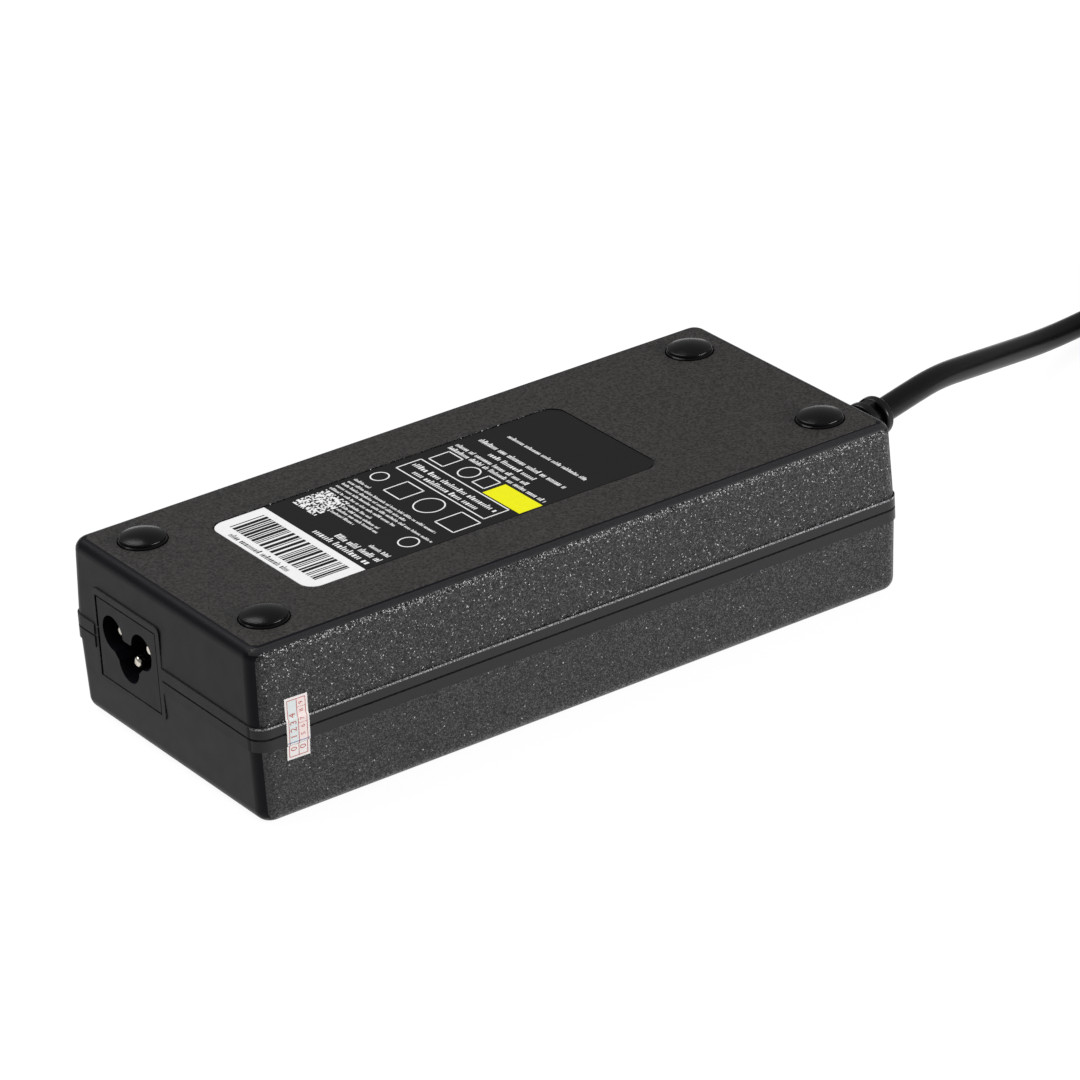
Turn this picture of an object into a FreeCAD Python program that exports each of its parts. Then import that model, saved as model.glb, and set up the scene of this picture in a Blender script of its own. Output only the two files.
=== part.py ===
import FreeCAD, Part
import math
import os
from FreeCAD import Vector as V

# A slim desktop power adapter with its output lead, in millimetres.
# It lies on its plain cover with the label side up, as such adapters are shown.
# +X runs from the mains inlet to the output lead, +Z is up,
# and the origin is the centre of the cover's underside.

# Housing
BAND_LENGTH = 144.2            # over the smooth band round the seam
BAND_WIDTH = 63.6
HEIGHT = 34.9                  # over both halves, without the feet
SEAM = HEIGHT / 2
BAND_HALF_HEIGHT = 2.4         # the band's height above and below the seam
BAND_PROUD = 0.2               # how far the band stands out from the walls
SEAM_GROOVE = 0.2              # half the groove's width
SEAM_GROOVE_DEPTH = 0.5
DRAFT = math.tan(math.radians(1.65))
CORNER_RADIUS = 3.1
BASE_EDGE_RADIUS = 2.3
COVER_EDGE_RADIUS = 2.6
WALL = 2.2
INNER_CORNER_RADIUS = 1.4
INNER_EDGE_RADIUS = 1.0
LIP_THICKNESS = 0.9
LIP_HEIGHT = 1.4
LIP_SETBACK = 0.05             # from the wall's inside
FIT_GAP = 0.1
ROOT = 0.5                     # how far ribs and posts run into the wall they stand on

WALL_HALF_X = BAND_LENGTH / 2 - BAND_PROUD
WALL_HALF_Y = BAND_WIDTH / 2 - BAND_PROUD
INNER_HALF_X = WALL_HALF_X - WALL
INNER_HALF_Y = WALL_HALF_Y - WALL

# Feet, on the label side
FOOT_X = 61.9
FOOT_Y = 20.6
FOOT_RADIUS = 4.55
FOOT_RECESS_RADIUS = 4.8
FOOT_RECESS_DEPTH = 0.9
FOOT_STEP_HEIGHT = 0.15
FOOT_STEP = 0.2
FOOT_EDGE_HEIGHT = 1.0
FOOT_DOME_HEIGHT = 1.8
FOOT_EDGE_ROUND = 0.35

# Label and sticker
LABEL_X = (-49.8, 27.6)
LABEL_Y = (-16.5, 17.4)
LABEL_RADIUS = 3.0
LABEL_RECESS = 0.25
LABEL_MARGIN = 0.35
LABEL_THICKNESS = 0.15
STICKER_X = (-66.0, -60.9)
STICKER_Z = (11.85, 24.1)
STICKER_THICKNESS = 0.1

# Mains inlet, three pins in a cloverleaf
INLET_Y = (1.9, 22.1)
INLET_Z = (10.1, 26.1)
INLET_WINDOW_Y = (1.6, 22.7)   # the socket sits a little off centre in its window
INLET_WINDOW_Z = (9.8, 26.4)
INLET_FACE_X = -71.85
PAD_FACE_X = -71.9
PAD_BACK_X = -69.4
PAD_Y = (0.3, 23.7)
PAD_Z = (8.9, 27.7)
PAD_RADIUS = 1.2
INLET_CENTRE_Y = 12.2
PIN_PITCH = 10.0
PIN_Z = 20.3
EARTH_Z = 15.8
PIN_RADIUS = 1.18
PIN_TAIL_RADIUS = 1.0
PIN_TIP_X = -70.4
PIN_TIP_ROUND = 0.8
PIN_TAIL_X = -51.0
LOBE_RADIUS = 3.53
LOBE_BRIDGE = 2.6              # half width of the slot from lobe to lobe
CAVITY_FLOOR_X = -58.5
INLET_BACK_X = -55.0
FLANGE_BACK_X = -67.8
FLANGE_MARGIN = 1.0
INLET_BODY_STEP = 0.5

# Strain relief of the output lead
CORD_RADIUS = 2.5
RELIEF_START_X = 72.25
RELIEF_ARC_RADIUS = 69.9
RELIEF_TURN = 17.8             # degrees towards +Y
RELIEF_HOLE_RADIUS = 4.0
RELIEF_NECK_RADIUS = 3.9
RELIEF_FLANGE_RADIUS = 6.0
RELIEF_FLANGE_X = (67.4, 69.5)
RELIEF_CORE_RADIUS = 2.7
RELIEF_RING_COUNT = 6
RELIEF_RING_THICKNESS = 2.0
RELIEF_RING_RADII = (5.0, 4.1)
RELIEF_RING_ROUND = 0.5
RELIEF_WEB_WIDTH = 2.2

# Output lead: hand-chosen points from the relief to the coil
LEAD_ROUTE = [
    (93.62, 3.35, 17.45),
    (104.13, 6.72, 17.45),
    (115.0, 11.2, 16.4),
    (127.5, 16.4, 13.2),
    (141.0, 22.6, 9.4),
    (156.0, 29.2, 5.35),
    (171.0, 33.8, 3.5),
    (186.0, 37.0, 3.35),
]
LEAD_LAST_RUN = 12.0
LEAD_HEADING = 12.0            # degrees from +X towards +Y, where it meets the coil

# Put-away coil: two layers, wound in and then out again, climbing in the innermost half turn
COIL_PITCH = 5.5
COIL_INNER = 19.5              # from the coil's middle to its innermost crossings
COIL_CLIMB_ROOM = 1.1          # more room beside the climbing half turn
COIL_HALF_TURNS_IN = 6
COIL_HALF_TURNS_OUT = 5
COIL_BOTTOM_Z = 3.35
COIL_END = 2 * CORD_RADIUS     # straight end of one diameter

# Tail from the coil to the plug, as (along the lead's heading, to its left, up)
TAIL_ROUTE = [
    (13.5, 34.35, 8.85),
    (27.0, 33.2, 8.2),
    (38.9, 27.8, 5.8),
    (47.8, 17.9, 3.8),
    (52.4, 6.0, 3.8),
    (53.3, -6.0, 5.25),
    (53.3, -14.0, 5.25),
]

# Hook-and-loop tie round the coil
TIE_THICKNESS = 0.8
TIE_WIDTH = 8.0
TIE_SLACK = 0.1

# Barrel plug, 5.5 mm outside and 2.5 mm inside
BARREL_RADIUS = 2.75
BARREL_WALL = 0.45
BARREL_LENGTH = 9.5
CONTACT_BORE_RADIUS = 1.25
CONTACT_WALL = 0.3
CONTACT_LENGTH = 8.0
PLUG_GRIP_LENGTH = 30.0
PLUG_GRIP_RADIUS = 5.2

# Inside: the board's component side faces the cover
BOARD_Z = (27.6, 29.2)
BOARD_HALF = (66.0, 28.0)
BOARD_CORNER_RADIUS = 2.0
POST_X = 45.0                  # posts on the base that the board rests on
POST_Y = 25.5
POST_RADIUS = 2.0
CLAMP_POST_X = 52.0            # posts on the cover that press the board onto them
CLAMP_POST_Y = 28.0
CLAMP_POST_RADIUS = 1.1
SPREADER_HALF_X = 56.0
SPREADER_THICKNESS = 0.8
SHEET_THICKNESS = 0.3
SHEET_HALF_Y = 23.0
CHANNEL_HALF_Y = 26.6
CHANNEL_HEIGHT = 10.0
RIB_X = (-40.0, 0.0, 40.0)
RIB_WIDTH = 1.2
BASE_SPREADER_Z = 31.2
COVER_SPREADER_Z = 3.0
WIRE_RADIUS = 0.9
WIRE_BEND = 2.0


def box(x, y, z):
    """A box between the two values given for each axis."""
    return Part.makeBox(x[1] - x[0], y[1] - y[0], z[1] - z[0], V(x[0], y[0], z[0]))


def upright_cylinder(x, y, radius, z):
    return Part.makeCylinder(radius, z[1] - z[0], V(x, y, z[0]))


def rounded_prism(half_x, half_y, radius, z, centre=(0, 0)):
    """An upright prism with four rounded corners."""
    x, y = centre
    solid = box((x - half_x, x + half_x), (y - half_y, y + half_y), z)
    upright = [e for e in solid.Edges if abs(e.Vertexes[0].Z - e.Vertexes[-1].Z) > 1e-6]
    return solid.makeFillet(radius, upright)


def drafted_block(half_x, half_y, height, corner, edge):
    """A block standing on z = 0 whose walls lean in, with its corners and far edge rounded."""
    lean = height * DRAFT
    far_x = half_x - lean
    far_y = half_y - lean
    solid = Part.makeWedge(
        -half_x, 0, -half_y, -far_y, -far_x, half_x, height, half_y, far_y, far_x
    )
    solid.rotate(V(0, 0, 0), V(1, 0, 0), 90)
    upright = [e for e in solid.Edges if abs(e.Vertexes[0].Z - e.Vertexes[-1].Z) > 1e-6]
    solid = solid.makeFillet(corner, upright)
    far = [e for e in solid.Edges if all(abs(v.Z - height) < 1e-6 for v in e.Vertexes)]
    return solid.makeFillet(edge, far)


def corners(x, y):
    return [(sx * x, sy * y) for sx in (-1, 1) for sy in (-1, 1)]


def half_shell(edge_radius):
    """One open half of the housing, standing on the seam plane, with its band and groove."""
    outer = drafted_block(WALL_HALF_X, WALL_HALF_Y, SEAM, CORNER_RADIUS, edge_radius)
    inner = drafted_block(
        INNER_HALF_X, INNER_HALF_Y, SEAM - WALL, INNER_CORNER_RADIUS, INNER_EDGE_RADIUS
    )
    band = rounded_prism(
        BAND_LENGTH / 2, BAND_WIDTH / 2, CORNER_RADIUS + BAND_PROUD, (0, BAND_HALF_HEIGHT)
    )
    ring = rounded_prism(BAND_LENGTH, BAND_WIDTH, CORNER_RADIUS, (0, SEAM_GROOVE))
    waist = rounded_prism(
        BAND_LENGTH / 2 - SEAM_GROOVE_DEPTH,
        BAND_WIDTH / 2 - SEAM_GROOVE_DEPTH,
        CORNER_RADIUS,
        (0, SEAM_GROOVE),
    )
    return outer.fuse(band).cut(inner).cut(ring.cut(waist))


def lip_block(reach, height):
    """A block below the seam plane that reaches into the wall from the inside."""
    return rounded_prism(
        INNER_HALF_X + reach, INNER_HALF_Y + reach, INNER_CORNER_RADIUS + reach, (-height, 0)
    )


def lip():
    """The ring inside the wall that locates one half in the other."""
    outer = lip_block(LIP_THICKNESS - FIT_GAP, LIP_HEIGHT)
    return outer.cut(lip_block(LIP_SETBACK, LIP_HEIGHT))


def inlet_outline(margin, x):
    """A block behind the inlet's face, larger than it by a margin all round."""
    return box(
        x, (INLET_Y[0] - margin, INLET_Y[1] + margin), (INLET_Z[0] - margin, INLET_Z[1] + margin)
    )


def inlet_pad(z):
    """The upright pad round the inlet, between two heights."""
    pad = box((PAD_FACE_X, PAD_BACK_X), PAD_Y, PAD_Z)
    along_x = [e for e in pad.Edges if abs(e.Vertexes[0].X - e.Vertexes[-1].X) > 1e-6]
    pad = pad.makeFillet(PAD_RADIUS, along_x)
    return pad.common(box((PAD_FACE_X, PAD_BACK_X), PAD_Y, z))


def dress_half(shell, z):
    """Gives a half its inlet pad and window and its seat for the strain relief."""
    band_break = box(
        (-BAND_LENGTH / 2 - 1, PAD_FACE_X), PAD_Y, (SEAM - BAND_HALF_HEIGHT, SEAM + BAND_HALF_HEIGHT)
    )
    shell = shell.cut(band_break).fuse(inlet_pad(z))
    shell = shell.cut(box((-BAND_LENGTH, PAD_BACK_X), INLET_WINDOW_Y, INLET_WINDOW_Z))
    seat = Part.makeCylinder(RELIEF_HOLE_RADIUS, 10, V(INNER_HALF_X - 5, 0, SEAM), V(1, 0, 0))
    return shell.cut(seat)


def inlet_supports(z):
    """Two gussets that hold the inlet's flange."""
    gussets = [box((PAD_BACK_X - 1, -66.5), (y, y + 2), z) for y in (5.0, 17.4)]
    return gussets[0].fuse(gussets[1])


def cross_ribs(half_y, z):
    """Ribs across the housing's floor that a heat spreader rests on."""
    ribs = [box((x - RIB_WIDTH / 2, x + RIB_WIDTH / 2), (-half_y, half_y), z) for x in RIB_X]
    return ribs[0].fuse(ribs[1:])


def posts(places, radius, z):
    """Upright posts inside a half, at the given places."""
    made = [upright_cylinder(x, y, radius, z) for x, y in places]
    return made[0].fuse(made[1:])


def base_shell():
    """The half with the feet and the label, here on top."""
    shell = half_shell(BASE_EDGE_RADIUS).fuse(lip())
    lip_break = box(
        (-BAND_LENGTH, PAD_BACK_X), (PAD_Y[0] - FIT_GAP, PAD_Y[1] + FIT_GAP), (-LIP_HEIGHT - 1, 0)
    )
    shell = shell.cut(lip_break)
    shell.translate(V(0, 0, SEAM))
    roof = HEIGHT - WALL + ROOT
    shell = shell.fuse(posts(corners(POST_X, POST_Y), POST_RADIUS, (BOARD_Z[1], roof)))
    shell = shell.fuse(cross_ribs(SHEET_HALF_Y, (BASE_SPREADER_Z + SPREADER_THICKNESS, roof)))
    shell = shell.fuse(inlet_supports((INLET_Z[1] + FLANGE_MARGIN, roof)))
    recess = (HEIGHT - FOOT_RECESS_DEPTH, HEIGHT + 1)
    shell = shell.cut(posts(corners(FOOT_X, FOOT_Y), FOOT_RECESS_RADIUS, recess))
    shell = shell.cut(label_shape(LABEL_MARGIN, (HEIGHT - LABEL_RECESS, HEIGHT + 1)))
    return dress_half(shell, (SEAM, PAD_Z[1]))


def cover_shell():
    """The plain half, here underneath, with the rebate for the base's lip."""
    shell = half_shell(COVER_EDGE_RADIUS).mirror(V(0, 0, 0), V(0, 0, 1))
    shell = shell.cut(lip_block(LIP_THICKNESS, LIP_HEIGHT + FIT_GAP))
    shell.translate(V(0, 0, SEAM))
    floor = WALL - ROOT
    clamps = corners(CLAMP_POST_X, CLAMP_POST_Y)
    shell = shell.fuse(posts(clamps, CLAMP_POST_RADIUS, (floor, BOARD_Z[0])))
    shell = shell.fuse(cross_ribs(CHANNEL_HALF_Y, (floor, COVER_SPREADER_Z)))
    shell = shell.fuse(inlet_supports((floor, INLET_Z[0] - FLANGE_MARGIN)))
    return dress_half(shell, (PAD_Z[0], SEAM))


def foot(x, y):
    """A domed rubber foot in its recess: a base ring, a small step and a crown."""
    ring = FOOT_RADIUS
    neck = FOOT_RADIUS - FOOT_STEP
    points = [
        V(0, 0, -FOOT_RECESS_DEPTH),
        V(ring, 0, -FOOT_RECESS_DEPTH),
        V(ring, 0, FOOT_STEP_HEIGHT),
        V(neck, 0, FOOT_STEP_HEIGHT + FOOT_STEP),
        V(neck, 0, FOOT_EDGE_HEIGHT - FOOT_EDGE_ROUND),
    ]
    edges = [Part.LineSegment(a, b).toShape() for a, b in zip(points, points[1:])]
    shoulder = V(neck - FOOT_EDGE_ROUND, 0, FOOT_EDGE_HEIGHT)
    bend = FOOT_EDGE_ROUND * math.sqrt(0.5)
    middle = shoulder + V(bend, 0, bend - FOOT_EDGE_ROUND)
    edges.append(Part.Arc(points[-1], middle, shoulder).toShape())
    rise = FOOT_DOME_HEIGHT - FOOT_EDGE_HEIGHT
    ball = (shoulder.x**2 + rise**2) / (2 * rise)
    drop = ball - math.sqrt(ball**2 - shoulder.x**2 / 4)
    half_way = V(shoulder.x / 2, 0, FOOT_DOME_HEIGHT - drop)
    top = V(0, 0, FOOT_DOME_HEIGHT)
    edges.append(Part.Arc(shoulder, half_way, top).toShape())
    edges.append(Part.LineSegment(top, points[0]).toShape())
    solid = Part.Face(Part.Wire(edges)).revolve(V(0, 0, 0), V(0, 0, 1), 360)
    solid.translate(V(x, y, HEIGHT))
    return solid


def label_shape(margin, z):
    """The label's outline, larger by a margin all round, between two heights."""
    x = (LABEL_X[0] + LABEL_X[1]) / 2
    y = (LABEL_Y[0] + LABEL_Y[1]) / 2
    return rounded_prism(
        LABEL_X[1] - x + margin, LABEL_Y[1] - y + margin, LABEL_RADIUS + margin, z, (x, y)
    )


def rating_label():
    bottom = HEIGHT - LABEL_RECESS
    return label_shape(0, (bottom, bottom + LABEL_THICKNESS))


def seal_sticker():
    """A paper seal over the seam, folded over the band's two edges."""
    def wall_y(z):
        return -(WALL_HALF_Y - abs(z - SEAM) * DRAFT)

    low = SEAM - BAND_HALF_HEIGHT
    high = SEAM + BAND_HALF_HEIGHT
    band_y = -BAND_WIDTH / 2
    back = [
        (wall_y(STICKER_Z[0]), STICKER_Z[0]),
        (wall_y(low), low),
        (band_y, low),
        (band_y, high),
        (wall_y(high), high),
        (wall_y(STICKER_Z[1]), STICKER_Z[1]),
    ]
    slack = BAND_PROUD + STICKER_THICKNESS
    front = [
        (wall_y(STICKER_Z[1]) - STICKER_THICKNESS, STICKER_Z[1]),
        (wall_y(high) - STICKER_THICKNESS, high + slack),
        (band_y - STICKER_THICKNESS, high),
        (band_y - STICKER_THICKNESS, low),
        (wall_y(low) - STICKER_THICKNESS, low - slack),
        (wall_y(STICKER_Z[0]) - STICKER_THICKNESS, STICKER_Z[0]),
    ]
    outline = [V(STICKER_X[0], y, z) for y, z in back + front]
    face = Part.Face(Part.makePolygon(outline + outline[:1]))
    return face.extrude(V(STICKER_X[1] - STICKER_X[0], 0, 0))


def slot_between(a, b, x):
    """The slot that joins two lobes of the inlet, as wide as two bridges."""
    ay, az = a
    by, bz = b
    length = math.hypot(by - ay, bz - az)
    solid = Part.makeBox(x[1] - x[0], length, 2 * LOBE_BRIDGE, V(0, 0, -LOBE_BRIDGE))
    solid.rotate(V(0, 0, 0), V(1, 0, 0), math.degrees(math.atan2(bz - az, by - ay)))
    solid.translate(V(x[0], ay, az))
    return solid


def inlet_cavity():
    """The cloverleaf hollow: two upper lobes, a lower one, and the web between them open."""
    x = (INLET_FACE_X - 1, CAVITY_FLOOR_X)
    left = (INLET_CENTRE_Y - PIN_PITCH / 2, PIN_Z)
    right = (INLET_CENTRE_Y + PIN_PITCH / 2, PIN_Z)
    chin = (INLET_CENTRE_Y, EARTH_Z)
    lobes = [
        Part.makeCylinder(LOBE_RADIUS, x[1] - x[0], V(x[0], y, z), V(1, 0, 0))
        for y, z in (left, right, chin)
    ]
    triangle = [V(x[0], y, z) for y, z in (left, right, chin, left)]
    web = Part.Face(Part.makePolygon(triangle)).extrude(V(x[1] - x[0], 0, 0))
    slots = [slot_between(left, chin, x), slot_between(chin, right, x)]
    roof = box(x, (INLET_Y[0], INLET_Y[1]), (PIN_Z + 0.2, INLET_Z[1]))
    valley = slots[0].fuse(slots[1]).cut(roof)
    return lobes[0].fuse(lobes[1:]).fuse(valley).fuse(web).removeSplitter()


def inlet_body():
    """The moulded socket: face block, flange behind the wall, and a smaller rear block."""
    step = -INLET_BODY_STEP
    face = inlet_outline(0, (INLET_FACE_X, PAD_BACK_X))
    flange = inlet_outline(FLANGE_MARGIN, (PAD_BACK_X, FLANGE_BACK_X))
    rear = inlet_outline(step, (FLANGE_BACK_X, INLET_BACK_X))
    body = face.fuse(flange).fuse(rear).cut(inlet_cavity())
    for y, z in inlet_pin_places():
        body = body.cut(
            Part.makeCylinder(PIN_TAIL_RADIUS, 10, V(CAVITY_FLOOR_X, y, z), V(1, 0, 0))
        )
    return body


def inlet_pin_places():
    half = PIN_PITCH / 2
    return [
        (INLET_CENTRE_Y + half, PIN_Z),
        (INLET_CENTRE_Y - half, PIN_Z),
        (INLET_CENTRE_Y, EARTH_Z),
    ]


def inlet_pin(y, z):
    """A round-nosed pin that steps down where the moulding grips it."""
    pin = Part.makeCylinder(PIN_RADIUS, CAVITY_FLOOR_X - PIN_TIP_X, V(PIN_TIP_X, y, z), V(1, 0, 0))
    nose = [e for e in pin.Edges if all(abs(v.X - PIN_TIP_X) < 1e-6 for v in e.Vertexes)]
    pin = pin.makeFillet(PIN_TIP_ROUND, nose)
    tail = Part.makeCylinder(
        PIN_TAIL_RADIUS, PIN_TAIL_X - CAVITY_FLOOR_X, V(CAVITY_FLOOR_X, y, z), V(1, 0, 0)
    )
    return pin.fuse(tail)


def relief_point(s):
    """The relief's centreline at a distance s from the wall, and its direction there."""
    turn = s / RELIEF_ARC_RADIUS
    place = V(
        RELIEF_START_X + RELIEF_ARC_RADIUS * math.sin(turn),
        RELIEF_ARC_RADIUS * (1 - math.cos(turn)),
        SEAM,
    )
    return place, V(math.cos(turn), math.sin(turn), 0)


def strain_relief():
    """A bent, segmented sleeve: rings on a core, joined by webs on alternate sides."""
    length = RELIEF_ARC_RADIUS * math.radians(RELIEF_TURN)
    start = V(RELIEF_START_X, 0, SEAM)
    circle = Part.Wire(Part.Circle(start, V(1, 0, 0), RELIEF_CORE_RADIUS).toShape())
    bend_centre = V(RELIEF_START_X, RELIEF_ARC_RADIUS, SEAM)
    core = Part.Face(circle).revolve(bend_centre, V(0, 0, 1), RELIEF_TURN)
    root = Part.makeCylinder(
        RELIEF_NECK_RADIUS,
        RELIEF_START_X - RELIEF_FLANGE_X[1],
        V(RELIEF_FLANGE_X[1], 0, SEAM),
        V(1, 0, 0),
    )
    flange = Part.makeCylinder(
        RELIEF_FLANGE_RADIUS,
        RELIEF_FLANGE_X[1] - RELIEF_FLANGE_X[0],
        V(RELIEF_FLANGE_X[0], 0, SEAM),
        V(1, 0, 0),
    )
    body = core.fuse(root).fuse(flange)
    spacing = (length - RELIEF_RING_THICKNESS) / (RELIEF_RING_COUNT - 1)
    first, last = RELIEF_RING_RADII
    for i in range(RELIEF_RING_COUNT):
        radius = first + (last - first) * i / (RELIEF_RING_COUNT - 1)
        place, along = relief_point(i * spacing + RELIEF_RING_THICKNESS)
        ring = Part.makeCylinder(radius, RELIEF_RING_THICKNESS, place, along * -1)
        ends = [e for e in ring.Edges if isinstance(e.Curve, Part.Circle)]
        body = body.fuse(ring.makeFillet(RELIEF_RING_ROUND, ends))
        if i < RELIEF_RING_COUNT - 1:
            body = body.fuse(relief_web(i * spacing + spacing / 2, radius - 0.45, spacing, i % 2))
    return body.removeSplitter()


def relief_web(s, radius, length, sideways):
    """A bar across the core between two rings, upright or sideways."""
    place, along = relief_point(s + RELIEF_RING_THICKNESS / 2)
    half = RELIEF_WEB_WIDTH / 2
    wide = radius if sideways else half
    tall = half if sideways else radius
    bar = Part.makeBox(length, 2 * wide, 2 * tall, V(-length / 2, -wide, -tall))
    bar.rotate(V(0, 0, 0), V(0, 0, 1), math.degrees(math.atan2(along.y, along.x)))
    bar.translate(place)
    return bar


def rounded_path(points, label, bend=None):
    """Straight runs joined by tangent arcs; prints the arc radii and gives edges and length."""
    points = [V(*p) for p in points]
    edges = []
    radii = []
    start = points[0]
    for before, corner, after in zip(points, points[1:], points[2:]):
        back = (before - corner).normalize()
        on = (after - corner).normalize()
        turn = math.pi - back.getAngle(on)
        shorter = min((before - corner).Length, (after - corner).Length)
        radius = bend if bend else 0.45 * shorter / math.tan(turn / 2)
        reach = radius * math.tan(turn / 2)
        a = corner + back * reach
        b = corner + on * reach
        inward = (back + on).normalize()
        middle = corner + inward * (radius / math.cos(turn / 2) - radius)
        edges.append(Part.LineSegment(start, a).toShape())
        edges.append(Part.Arc(a, middle, b).toShape())
        radii.append(round(radius, 1))
        start = b
    edges.append(Part.LineSegment(start, points[-1]).toShape())
    if not bend:
        print(label, "arc radii", radii)
    return edges


def tube(edges, radius, label=None):
    """A round solid along the edges, its volume set against section times length."""
    path = Part.Wire(edges)
    first = edges[0]
    start = first.valueAt(first.FirstParameter)
    along = first.tangentAt(first.FirstParameter)
    section = Part.Wire(Part.Circle(start, along, radius).toShape())
    solid = path.makePipeShell([section], True, False)
    if label:
        expected = math.pi * radius**2 * path.Length
        print(label, "length", round(path.Length, 1), "volume ratio", round(solid.Volume / expected, 4))
    return solid


def coil_distance(k):
    """How far from the coil's middle the crossing k half turns out from the innermost is."""
    return COIL_INNER + (COIL_CLIMB_ROOM + k * COIL_PITCH / 2 if k else 0)


def coil_frame():
    """The coil's middle, the lead's heading and the direction to its left."""
    turn = math.radians(LEAD_HEADING)
    ahead = V(math.cos(turn), math.sin(turn), 0)
    left = V(-math.sin(turn), math.cos(turn), 0)
    entry = V(*LEAD_ROUTE[-1]) + ahead * LEAD_LAST_RUN
    middle = entry + ahead * COIL_END - left * coil_distance(COIL_HALF_TURNS_IN)
    return V(middle.x, middle.y, 0), ahead, left


def from_coil(point):
    """A point given along the lead's heading, to its left and up, from the coil's middle."""
    middle, ahead, left = coil_frame()
    return middle + ahead * point[0] + left * point[1] + V(0, 0, point[2])


def output_lead_stretch():
    ahead = coil_frame()[1]
    last = V(*LEAD_ROUTE[-1]) + ahead * LEAD_LAST_RUN
    return tube(rounded_path(LEAD_ROUTE + [tuple(last)], "stretch"), CORD_RADIUS, "stretch")


def coil_crossings():
    """Where the coil's half turns begin and end, as (to the left, up) from its middle."""
    inward = [coil_distance(k) for k in range(COIL_HALF_TURNS_IN, -1, -1)]
    outward = [coil_distance(k) for k in range(COIL_HALF_TURNS_OUT + 1)]
    top = COIL_BOTTOM_Z + COIL_PITCH
    levels = [(d, COIL_BOTTOM_Z) for d in inward] + [(d, top) for d in outward]
    return [(d * (-1) ** k, z) for k, (d, z) in enumerate(levels)]


def output_lead_coil():
    """Half turns on alternate centres, in on the lower layer and out on the upper one."""
    crossings = coil_crossings()
    first = from_coil((0, *crossings[0]))
    last = from_coil((0, *crossings[-1]))
    ahead = coil_frame()[1]
    edges = [Part.LineSegment(first - ahead * COIL_END, first).toShape()]
    for k, (a, b) in enumerate(zip(crossings, crossings[1:])):
        side = 1 if k % 2 == 0 else -1
        reach = abs(a[0] - b[0]) / 2
        tilt = (b[1] - a[1]) / 2
        radius = math.hypot(reach, tilt)
        top = (side * radius, (a[0] + b[0]) / 2, (a[1] + b[1]) / 2)
        edges.append(Part.Arc(from_coil((0, *a)), from_coil(top), from_coil((0, *b))).toShape())
    edges.append(Part.LineSegment(last, last + ahead * COIL_END).toShape())
    print("coil least gap to itself", round(least_self_gap(edges), 2))
    return tube(edges, CORD_RADIUS, "coil")


def least_self_gap(edges):
    """The smallest gap between parts of the coil that are over half a turn apart."""
    path = Part.Wire(edges)
    points = path.discretize(Number=700)
    spacing = path.Length / (len(points) - 1)
    apart = int(math.pi * COIL_INNER / spacing)
    nearest = min(
        a.distanceToPoint(b)
        for i, a in enumerate(points)
        for b in points[i + apart:]
    )
    return nearest - 2 * CORD_RADIUS


def output_lead_tail():
    outer = coil_crossings()[-1]
    start = (COIL_END, *outer)
    points = [tuple(from_coil(p)) for p in [start] + TAIL_ROUTE]
    return tube(rounded_path(points, "tail"), CORD_RADIUS, "tail")


def cord_tie():
    """A flat band round all six turns, at the side of the coil nearest the adapter."""
    half = TIE_WIDTH / 2
    shift = (coil_distance(1) - coil_distance(0)) / 2
    inner_turn = (coil_distance(0) + coil_distance(1)) / 2
    outer_turn = (coil_distance(COIL_HALF_TURNS_OUT - 1) + coil_distance(COIL_HALF_TURNS_OUT)) / 2
    near = math.sqrt(inner_turn**2 - (half + shift) ** 2) - CORD_RADIUS - TIE_SLACK
    far = outer_turn + CORD_RADIUS + TIE_SLACK
    low = COIL_BOTTOM_Z - CORD_RADIUS
    high = COIL_BOTTOM_Z + COIL_PITCH + CORD_RADIUS + 0.05
    t = TIE_THICKNESS

    def ring_block(grow, width, radius):
        block = box((-far - grow, -near + grow), (-width, width), (low - grow, high + grow))
        along = [e for e in block.Edges if abs(e.Vertexes[0].Y - e.Vertexes[-1].Y) > 1e-6]
        return block.makeFillet(radius, along)

    band = ring_block(t, half, 2.4).cut(ring_block(0, half + 1, 1.6))
    flap = box((-far + 3, -near - 3), (-half, half), (high + t, high + 2 * t))
    band = band.fuse(flap)
    middle = coil_frame()[0]
    band.rotate(V(0, 0, 0), V(0, 0, 1), LEAD_HEADING)
    band.translate(middle)
    return band


def place_plug(solid):
    """Moves a solid made along +X from the origin to the end of the tail."""
    end = from_coil(TAIL_ROUTE[-1])
    solid.rotate(V(0, 0, 0), V(0, 0, 1), LEAD_HEADING - 90)
    solid.translate(end)
    return solid


def turned(profile):
    """A solid turned about the X axis from (x, radius) points, closed along the axis."""
    points = [V(x, r, 0) for x, r in profile]
    points = [V(points[0].x, 0, 0)] + points + [V(points[-1].x, 0, 0)]
    face = Part.Face(Part.makePolygon(points + points[:1]))
    return face.revolve(V(0, 0, 0), V(1, 0, 0), 360)


def plug_grip():
    """The moulded grip: a ribbed sleeve, a waist, and a barrel-shaped hold."""
    r = PLUG_GRIP_RADIUS
    profile = [(0, 3.0), (1.4, 3.3)]
    for i in range(3):
        x = 1.4 + 2.2 * i
        profile += [(x, 2.9), (x + 0.9, 2.9), (x + 0.9, 3.5 + 0.2 * i), (x + 2.2, 3.6 + 0.2 * i)]
    profile += [(9.4, r - 0.5), (10.4, r), (26.5, r), (PLUG_GRIP_LENGTH, r - 0.7)]
    grip = turned(profile)
    for side in (-1, 1):
        for i in range(5):
            x = 13.0 + 2.6 * i
            rows = box((x, x + 1.2), (-4, 4), (r - 0.35, r + 1) if side > 0 else (-r - 1, -r + 0.35))
            grip = grip.cut(rows)
    return place_plug(grip)


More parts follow.
